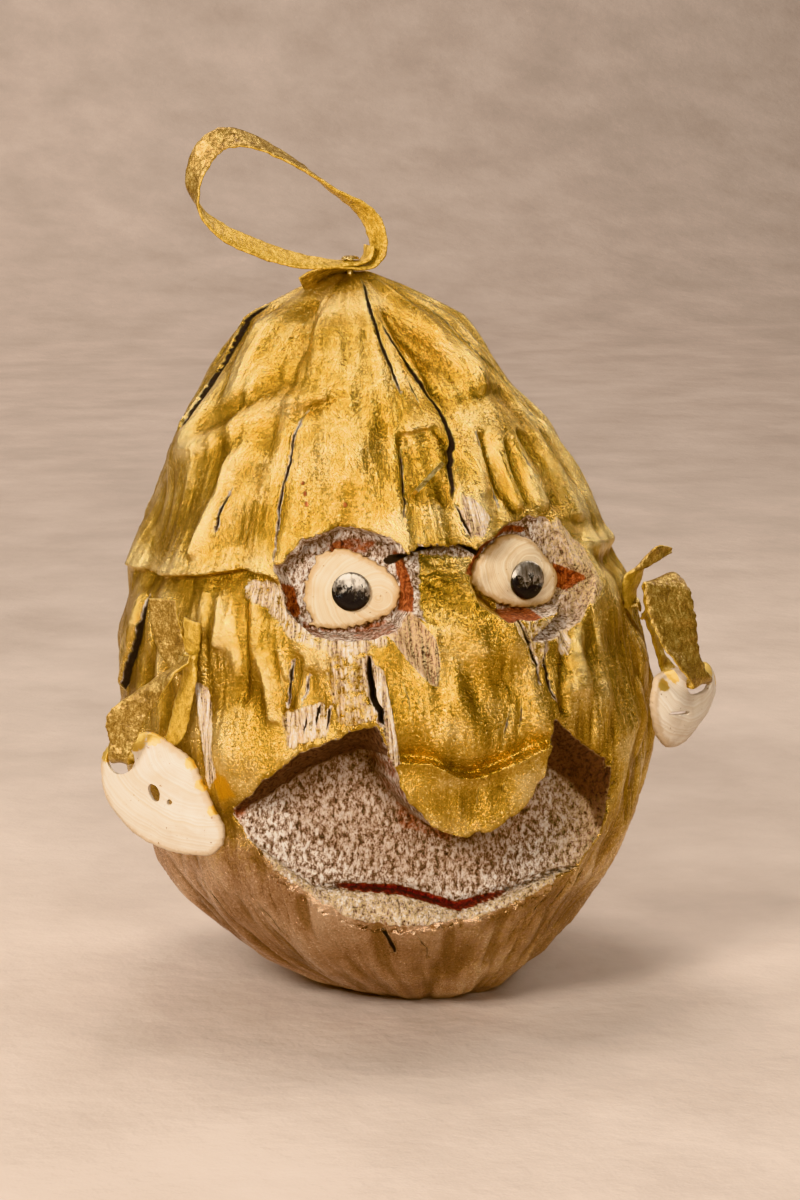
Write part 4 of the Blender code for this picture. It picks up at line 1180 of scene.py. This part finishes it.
def plate(name, spec, material, seed):
    """A thin domed plate of shell with holes, chips and a rounded edge."""
    axes, centre = facing(spec["centre"], spec["faces"])
    outline = rounded_outline(spec["outline"])
    cell = 0.36
    low = np.array([min(x for x, y in outline) - 2, min(y for x, y in outline) - 2, -4.0])
    high = np.array([max(x for x, y in outline) + 2, max(y for x, y in outline) + 2, spec["dome"] + 4])
    xs, ys, zs = (np.arange(a, b, cell) for a, b in zip(low, high))
    x, y = np.meshgrid(xs, ys, indexing="ij")
    gap, spread = outline_field(outline, x, y)
    rough = noise_field(x.shape, (cell, cell), (2.4, 2.4), seed, (False, False))
    gap = gap + 0.22 * rough * spec.get("chip", 1)
    waves = noise_field(x.shape, (cell, cell), (14, 14), seed + 1, (False, False))
    front = spec["dome"] * (1 - spread ** 2.2) + 0.25 * waves
    middle = (front - spec["thickness"] / 2)[:, :, None]
    slab = np.abs(zs[None, None, :] - middle) - spec["thickness"] / 2
    edge = np.broadcast_to(gap[:, :, None], slab.shape)
    soft = 0.8
    field = np.maximum(slab, edge) + np.maximum(soft - np.abs(slab - edge), 0) ** 2 / (4 * soft)
    for hx, hy, rx, ry, lean in spec["holes"]:
        c, s = math.cos(math.radians(lean)), math.sin(math.radians(lean))
        ax, ay = (x - hx) * c + (y - hy) * s, (y - hy) * c - (x - hx) * s
        oval = (np.hypot(ax / rx, ay / ry) - 1) * min(rx, ry)
        field = np.maximum(field, -oval[:, :, None])
    flat, faces = quads_of(np.clip(field, -3 * cell, 3 * cell), low, cell)
    made = mesh_object(name, flat @ axes.T + centre, faces, material)
    ux, uy = spec["umbo"]
    set_attribute(made, "ring", np.hypot((flat[:, 0] - ux) * spec.get("ring_squash", 1), flat[:, 1] - uy))
    at_edge, _ = outline_field(outline, flat[:, 0], flat[:, 1])
    set_attribute(made, "edge", smooth(at_edge, -3.4, 0.3))
    gilt = np.zeros(len(flat))
    for gx, gy, size in spec.get("gilt", []):
        gilt = np.maximum(gilt, np.exp(-((flat[:, 0] - gx) ** 2 + (flat[:, 1] - gy) ** 2) / size ** 2))
    set_attribute(made, "gilt", gilt)
    return made


EYE_PLATES = {
    "right": dict(
        RIGHT_EYE, dome=1.3, thickness=2.4, umbo=(9, -3), ring_squash=0.9, chip=1.2,
        outline=[
            (-10.9, 10.4), (-3.8, 12.5), (1.1, 11.5), (6.9, 8.8), (12.7, 5.1), (15.7, 1.0),
            (15.5, -3.2), (12.8, -7.8), (4.7, -11.5), (-2.4, -13.2), (-9.5, -13.2), (-13.2, -12),
            (-12.4, -10.4), (-15.2, -4.8), (-14.2, 2.6), (-12.1, 6.9),
        ],
        holes=[(0.4, -0.9, 1.4, 1.4, 0)],
    ),
    "left": dict(
        LEFT_EYE, dome=1.6, thickness=2.4, umbo=(4, 3), ring_squash=0.8, chip=0.8,
        outline=[
            (-17.6, 0.8), (-16, 5.5), (-11.0, 10.2), (-4.4, 13.8), (0.4, 13.6), (6.0, 11.1),
            (10.9, 6.1), (14.9, 0.0), (14.6, -5.6), (12.0, -9.0), (6.2, -10.6), (-2.3, -9.8),
            (-10.9, -6.2), (-15.8, -2.6),
        ],
        holes=[(2.6, -1.0, 1.4, 1.4, 0)],
    ),
}
EAR_SHELLS = {
    "right": {
        "centre": (-96.2, -43.9, 80.6), "faces": (-0.6, -0.78, 0.1),
        "dome": 4.4, "thickness": 2.2, "umbo": (16, 20), "ring_squash": 0.75, "chip": 0.45,
        "outline": [
            (-24, 12.5), (-24.4, 4.5), (-21.5, -3.5), (-15.5, -10.5), (-8, -15), (1.5, -18),
            (12, -18.5), (17, -17.5), (20, -14.5), (21, -11), (20, -7), (15.5, 0), (11.5, 8),
            (7.5, 13.5), (0, 17.5), (-6, 20.5), (-11, 20), (-18, 17.5),
        ],
        "holes": [(-16.2, 10.8, 5.7, 4.5, 0), (-2.6, 1.4, 1.7, 3.1, 28), (3.0, -1.2, 0.9, 0.9, 0)],
        "gilt": [
            (-17, 16, 4), (-11, 18, 4.5), (-5, 19, 3), (9, 12, 2.6), (13, 5, 2.4), (17, -3, 2), (-22, 12, 3),
        ],
    },
    "left": {
        "centre": (82.4, -43.4, 102.8), "faces": (0.6, -0.78, 0.0),
        "dome": 4.6, "thickness": 2.2, "umbo": (2, 16), "chip": 0.35,
        "outline": [
            (-17.5, 6.5), (-15.5, 10.5), (-10, 11.5), (1, 11.8), (14, 11.3), (19.5, 8), (21.5, 1.5),
            (20, -3), (14, -8.5), (3, -14.5), (-5.5, -15.5), (-12, -12), (-16, -6.5), (-18, 0),
        ],
        "holes": [(5.0, 5.4, 7.4, 3.4, 0), (-7.0, -2.6, 5.6, 0.55, -6)],
        "gilt": [(-8, 10.5, 3.4), (14, 10, 4), (20, 5, 3), (-14, 8, 2.6)],
    },
}
for side, spec in EYE_PLATES.items():
    made = plate("eye_plate_look_" + side, spec, eye_ivory, 31 if side == "right" else 41)
    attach(made, "head")
    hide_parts("eye_plate_" + side)
for side, spec in EAR_SHELLS.items():
    made = plate("ear_shell_look_" + side, spec, ear_ivory, 51 if side == "right" else 61)
    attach(made, side + "_ear_lobe")
    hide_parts("ear_shell_" + side)


def pupil(side, eye, spot, seed):
    """A domed tack head with a slightly hammered face."""
    axes, centre = facing(eye["centre"], eye["faces"])
    rings, around = 22, 56
    head_radius = 6.3
    rng = np.random.default_rng(seed)
    lumps = [
        (rng.uniform(-5, 5), rng.uniform(-5, 5), rng.uniform(0.9, 1.9), rng.uniform(-0.10, 0.14))
        for _ in range(26)
    ]
    verts, faces = [], []
    for i in range(rings + 1):
        share = i / rings
        radius = head_radius * math.sin(share * math.pi / 2)
        for j in range(around):
            turn = 2 * math.pi * j / around
            x, y = radius * math.cos(turn), radius * math.sin(turn)
            rise = 1.1 * max(0.0, 1 - (radius / 6.42) ** 6) ** 0.5 + 0.4 * (1 - share)
            lumpy = sum(h * math.exp(-((x - a) ** 2 + (y - b) ** 2) / w ** 2) for a, b, w, h in lumps)
            rise += lumpy * (1 - share ** 6)
            verts.append((x + spot[0], y + spot[1], spot[2] + rise))
    for j in range(around):
        verts.append((verts[rings * around + j][0], verts[rings * around + j][1], spot[2] - 0.4))
    for i in range(1, rings + 1):
        for j in range(around):
            k = (j + 1) % around
            faces.append((i * around + j, (i + 1) * around + j, (i + 1) * around + k, i * around + k))
    top, bottom = len(verts), len(verts) + 1
    verts += [(spot[0], spot[1], spot[2] + 1.5), (spot[0], spot[1], spot[2] - 0.4)]
    flat = np.array(verts)
    last = (rings + 1) * around
    caps = [(top, around + j, around + (j + 1) % around) for j in range(around)]
    caps += [(bottom, last + (j + 1) % around, last + j) for j in range(around)]
    corners = ((flat @ axes.T + centre) * MM).tolist()
    made = listed_mesh("pupil_look_" + side, corners, faces + caps, black_tack)
    # Painted reflection: black on the tack's lower side, bare grey metal on its upper side, the split slanted
    # by tilt.
    tilt = 0.55 if side == "left" else 0.25
    upward = (flat[:, 1] - spot[1]) / 7.5 * (1 - 0.3 * tilt)
    sideways = (flat[:, 0] - spot[0]) * 0.035 * (1 - tilt)
    set_attribute(made, "black_below_painted_reflection", 0.5 - upward - sideways)
    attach(made, "head")
    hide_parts("pupil_" + side)


pupil("right", RIGHT_EYE, (0.5, -0.9, 1.75), 3)
pupil("left", LEFT_EYE, (2.1, -1.2, 2.0), 4)

# ---------------------------------------------------------------- leather


def through_points(points, steps):
    """The stations of a strap with smooth steps put in between them."""
    made = []
    last = len(points) - 1
    for i in range(last):
        p, q, r, s = (np.array(points[k], float) for k in (max(i - 1, 0), i, i + 1, min(i + 2, last)))
        for step_number in range(steps):
            t = step_number / steps
            made.append(spline_point(p, q, r, s, t))
    made.append(np.array(points[last], float))
    return np.array(made)


def strap(name, stations, thickness, crinkle, seed, curl=0.0, flip=False):
    """A flat strap: each station is its centre (x, y, z), the direction across it and its width."""
    rows = through_points(stations, 7)
    centre = rows[:, :3]
    across = rows[:, 3:6] / np.linalg.norm(rows[:, 3:6], axis=1)[:, None]
    along = np.gradient(centre, axis=0)
    along /= np.linalg.norm(along, axis=1)[:, None]
    face = np.cross(along, across)
    face /= np.linalg.norm(face, axis=1)[:, None]
    if flip:
        face = -face
    count = len(rows)
    lanes = np.linspace(-1, 1, 11)
    length = np.concatenate([[0], np.cumsum(np.linalg.norm(np.diff(centre, axis=0), axis=1))])
    rng = np.random.default_rng(seed)
    waves = [
        (rng.uniform(0.3, 1.3), rng.uniform(-0.9, 0.9), rng.uniform(0, 6.3), rng.uniform(0.4, 1))
        for _ in range(9)
    ]
    offset = np.zeros((count, len(lanes)))
    for speed, slant, phase, size in waves:
        offset += size * np.sin(length[:, None] * speed + lanes[None, :] * slant * 4 + phase) / 3
    offset = crinkle * offset + curl * (lanes[None, :] ** 2)
    frayed = 1 + 0.03 * np.sin(length * 1.7 + seed) + 0.02 * np.sin(length * 4.1)
    verts, outer = [], []
    for i in range(count):
        middle = [
            centre[i] + across[i] * rows[i, 6] / 2 * frayed[i] * lane + face[i] * offset[i, j]
            for j, lane in enumerate(lanes)
        ]
        inset = np.where(np.abs(lanes) > 0.99, 0.30, 0.5)
        verts += [m + face[i] * thickness * k for m, k in zip(middle, inset)]
        outer += [1.0] * (len(lanes) - 1) + [0.6]
        verts.append(middle[-1] + across[i] * thickness * 0.16)
        outer.append(0.0)
        verts += [m - face[i] * thickness * k for m, k in zip(middle[::-1], inset)]
        outer += [0.0] * len(lanes)
        verts.append(middle[0] - across[i] * thickness * 0.16)
        outer.append(0.0)
        outer[-2 * len(lanes) - 2] = 0.6
    ring = 2 * len(lanes) + 2
    faces = []
    for i in range(count - 1):
        for j in range(ring):
            k = (j + 1) % ring
            faces.append((i * ring + j, i * ring + k, i * ring + ring + k, i * ring + ring + j))
    faces.append(tuple(range(ring))[::-1])
    faces.append(tuple(range((count - 1) * ring, count * ring)))
    made = listed_mesh(name, [(v * MM).tolist() for v in verts], faces, gold_leather)
    if flip:
        made.data.flip_normals()
    set_attribute(made, "outer", outer)
    return made


def edge_on(run, y, width):
    """Stations (x, z, lean) of a strap seen edge on; lean turns it, and above 0 it shows its inner face."""
    places = np.array([station[:2] for station in run], float)
    ways = np.gradient(places, axis=0)
    ways /= np.linalg.norm(ways, axis=1)[:, None]
    made = []
    for (x, z, lean), (way_x, way_z) in zip(run, ways):
        turn = math.radians(lean)
        made.append((x, y, z, math.sin(turn) * way_z, -math.cos(turn), -math.sin(turn) * way_x, width))
    return made


LOOP_RUN = [
    (-40.6, 243.6, -50), (-37.4, 245.8, -45), (-33.5, 247.7, -32), (-29, 248.6, -18), (-24, 248.8, -8),
    (-19.7, 249.0, 0), (-16.6, 250.6, 12), (-14.6, 254, 24), (-14.4, 258, 32), (-16.4, 264, 36),
    (-20.5, 268.9, 24), (-29.3, 274.5, 4), (-41.6, 283.2, -14), (-55.9, 290.6, -30),
    (-65.5, 292.4, -52), (-71.2, 289.8, -60), (-75.0, 284.4, -48), (-77.0, 276.6, -20),
    (-74.4, 268.4, 18), (-67.0, 261.6, 38), (-57.4, 257.0, 42), (-47.5, 253.4, 38), (-38.5, 251.4, 28),
    (-29.8, 250.7, 12), (-24, 250.8, 4), (-20.4, 251.0, 0), (-18.2, 252.9, 6), (-17.4, 256.4, 8),
]
loop = strap("hanging_strap", edge_on(LOOP_RUN, -5, 8), 1.3, 0.16, 71, curl=0.25)
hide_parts("hanging_loop", "loop_tail", "loop_end")
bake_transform(loop)

RIGHT_EAR_RUN = [
    (-90.2, -48.6, 127.8, 0.42, -0.88, 0.10, 6),
    (-91.4, -49.8, 125.2, 0.40, -0.88, 0.20, 6),
    (-95.3, -49.9, 122.9, 0.38, -0.88, 0.25, 8),
    (-99.3, -48.4, 118.9, 0.62, -0.74, 0.25, 11),
    (-104.5, -45.7, 114.0, 0.86, -0.48, 0.15, 13),
    (-108.1, -43.6, 109.1, 0.95, -0.30, 0.00, 13),
    (-109.6, -42.7, 104.4, 0.93, -0.36, 0.00, 11.5),
    (-110.0, -42.4, 100.0, 0.86, -0.50, 0.00, 9.0),
    (-111.4, -41.8, 94.0, 0.80, -0.60, 0.00, 6.8),
    (-109.2, -34.9, 91.4, 0.79, -0.61, 0.00, 6.2),
    (-106.0, -30.4, 91.0, 0.76, -0.64, 0.00, 6.2),
    (-101.6, -31.0, 93.6, 0.62, -0.76, 0.00, 6.6),
    (-94.0, -39.9, 97.9, 0.58, -0.80, 0.05, 7.4),
    (-92.0, -43.6, 105.2, 0.60, -0.78, 0.10, 7.4),
    (-90.7, -46.1, 113.0, 0.60, -0.78, 0.10, 7.2),
    (-89.4, -48.4, 120.6, 0.52, -0.84, 0.10, 6.6),
    (-89.4, -47.6, 125.2, 0.45, -0.88, 0.10, 6),
    (-88.8, -47.4, 128.0, 0.45, -0.88, 0.10, 6),
]
LEFT_EAR_RUN = [
    (70.0, -37.4, 131.0, 0.45, 0.88, 0.00, 7),
    (71.4, -38.6, 134.0, 0.45, 0.88, 0.00, 7),
    (70.6, -40.5, 139.7, 0.50, 0.84, 0.05, 8),
    (71.2, -43.1, 143.9, 0.72, 0.66, 0.05, 13),
    (73.2, -45.1, 145.1, 0.86, 0.48, 0.10, 15.6),
    (74.3, -47.3, 141.8, 0.94, 0.28, 0.15, 17.2),
    (75.4, -49.0, 136.6, 0.95, 0.22, 0.12, 17.6),
    (76.8, -50.1, 130.2, 0.94, 0.28, 0.06, 17.0),
    (78.6, -50.8, 123.5, 0.90, 0.42, 0.00, 15.6),
    (81.1, -50.9, 118.4, 0.83, 0.55, 0.00, 13.4),
    (84.6, -49.9, 113.2, 0.80, 0.60, 0.00, 12),
    (88.4, -46.2, 109.6, 0.79, 0.61, 0.00, 11.8),
    (87.7, -41.6, 108.3, 0.79, 0.61, 0.00, 11.6),
    (84.6, -37.2, 108.4, 0.79, 0.61, 0.00, 11.2),
    (81.4, -34.2, 111.6, 0.72, 0.68, 0.00, 9.6),
    (77.6, -34.8, 118.5, 0.55, 0.82, 0.00, 7.6),
    (73.6, -36.4, 127.6, 0.45, 0.88, 0.00, 6),
    (71.0, -36.4, 133.0, 0.45, 0.88, 0.00, 6),
]
right_strap = strap("ear_strap_right", RIGHT_EAR_RUN, 1.2, 0.30, 72, curl=0.5)
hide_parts("ear_loop_right")
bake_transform(right_strap)
left_strap = strap("ear_strap_left", LEFT_EAR_RUN, 1.2, 0.34, 73, curl=0.5)
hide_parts("ear_loop_left")
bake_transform(left_strap)


def beside_head(angle, z, stations):
    """Stations given as (across, up, out, across direction, width) from a point on the husk."""
    turn = math.radians(angle)
    column = np.array([(angle + 180) / 360 * TURN])
    outer = float(sample(outer_map, column, np.array([z / SKIN_CELL]), True)[0])
    origin = np.array([np.interp(z, axis_z, axis_x) + outer * math.sin(turn), -outer * math.cos(turn), z])
    out = np.array([math.sin(turn), -math.cos(turn), 0.0])
    side = np.array([-out[1], out[0], 0.0])
    up = np.array([0.0, 0.0, 1.0])
    axes = np.array([side, up, out]).T
    return [
        tuple(axes @ np.array(s[:3], float) + origin) + tuple(axes @ np.array(s[3:6], float)) + (s[6],)
        for s in stations
    ]


RIGHT_TAILS = [
    [
        (0.8, -3.6, 2.0, 0.8, 0.5, -0.2, 5.5), (-1.2, -1.6, 2.4, 0.75, 0.6, -0.3, 7.5),
        (-4.6, 2.2, 3.2, 0.9, 0.35, -0.35, 9.8), (-6.2, 7.6, 4.4, 1, 0.1, -0.4, 10.4),
        (-6.8, 13.6, 5.4, 1, 0, -0.4, 10.2), (-7.0, 19.6, 5.8, 1, 0, -0.4, 9.8),
    ],
    [
        (0.5, -3.5, 1.2, 1, 0, -0.1, 5.5), (0.6, 0, 1.4, 1, 0, -0.15, 5.5),
        (2.0, 4.5, 2.0, 0.95, -0.2, -0.2, 6), (3.4, 9.0, 3.0, 0.95, -0.25, -0.2, 6.4),
        (4.6, 13.6, 4.0, 0.95, -0.25, -0.2, 6.4),
    ],
]
LEFT_TAILS = [
    [
        (0, -3.5, 1.4, 1, 0, 0.2, 6), (-0.6, 0, 1.6, 1, 0, 0.4, 6.4),
        (-2.4, 5, 2.2, 0.9, 0.1, 0.5, 8.2), (-4.4, 10, 3.0, 0.8, 0.2, 0.6, 9.8),
        (-5.2, 14.4, 4.8, 0.6, 0.45, 0.6, 10), (-3.4, 17.2, 8.0, 0.2, 0.8, 0.4, 7.8),
        (0.8, 18.4, 11.6, 0.1, 1, 0.2, 4.8), (5.2, 18.6, 14.6, 0.1, 1, 0.2, 1.6),
    ],
]
for number, stations in enumerate(RIGHT_TAILS):
    placed = beside_head(-60, 126, stations)
    made = strap(f"ear_tail_right_{number + 1}", placed, 1.2, 0.3, 81 + number, 0.5, number == 0)
    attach(made, "head")
    if number == 0:
        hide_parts("ear_tab_right")
for number, stations in enumerate(LEFT_TAILS):
    placed = beside_head(66, 135, stations)
    made = strap(f"ear_tail_left_{number + 1}", placed, 1.2, 0.3, 91 + number, curl=0.4)
    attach(made, "head")
    if number == 0:
        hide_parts("ear_tab_left")

# ---------------------------------------------------------------- nails and staple

for name in ("brow_staple", "loop_nail", "ear_nail_right", "ear_nail_left"):
    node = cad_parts[name]
    node.data.materials.clear()
    node.data.materials.append(gilded_steel)

# ---------------------------------------------------------------- floor and light


def make_backdrop():
    """A plain sweep of cloth: flat under the head, and curving up behind it."""
    profile = [(-5.0, 0.0), (2.2, 0.0)]
    profile += [(2.2 + 1.4 * math.sin(a), 1.4 - 1.4 * math.cos(a)) for a in np.linspace(0.1, math.pi / 2, 14)]
    profile.append((3.6, 6.0))
    verts, faces = [], []
    for y, z in profile:
        verts += [(-7.0, y, z), (7.0, y, z)]
    for i in range(len(profile) - 1):
        faces.append((2 * i, 2 * i + 1, 2 * i + 3, 2 * i + 2))
    made = listed_mesh("backdrop", verts, faces, backdrop_material())


def area_light(name, place, target, size, power, colour):
    """A flat lamp in metres and watts, turned toward its target."""
    data = bpy.data.lights.new(name, "AREA")
    data.shape = "RECTANGLE"
    data.size, data.size_y = size
    data.energy = power
    data.color = colour
    made = bpy.data.objects.new(name, data)
    made.location = place
    made.rotation_euler = (Vector(target) - Vector(place)).to_track_quat("-Z", "Y").to_euler()
    bpy.context.scene.collection.objects.link(made)


make_backdrop()
middle = (0, 0, 0.13)
area_light("key", (-0.78, -0.82, 0.72), middle, (0.30, 0.34), 14, (1.0, 0.955, 0.88))
area_light("top", (-0.05, 0.10, 1.15), middle, (0.36, 0.30), 4.5, (1.0, 0.97, 0.92))
area_light("right_edge", (0.80, 0.26, 0.78), middle, (0.14, 0.6), 4, (1.0, 0.96, 0.9))
area_light("left_edge", (-0.85, 0.15, 0.75), middle, (0.2, 0.5), 2.5, (1.0, 0.96, 0.9))
area_light("front", (-0.12, -1.30, 0.60), middle, (0.34, 0.28), 8, (1.0, 0.95, 0.88))
area_light("backdrop_light", (-0.4, 1.5, 2.6), (0.0, 3.3, 0.8), (2.4, 1.2), 80, (1.0, 0.95, 0.9))
world = bpy.data.worlds.new("world")
world.use_nodes = True
background = world.node_tree.nodes["Background"]
background.inputs["Color"].default_value = (0.80, 0.66, 0.55, 1)
background.inputs["Strength"].default_value = 0.10
bpy.context.scene.world = world
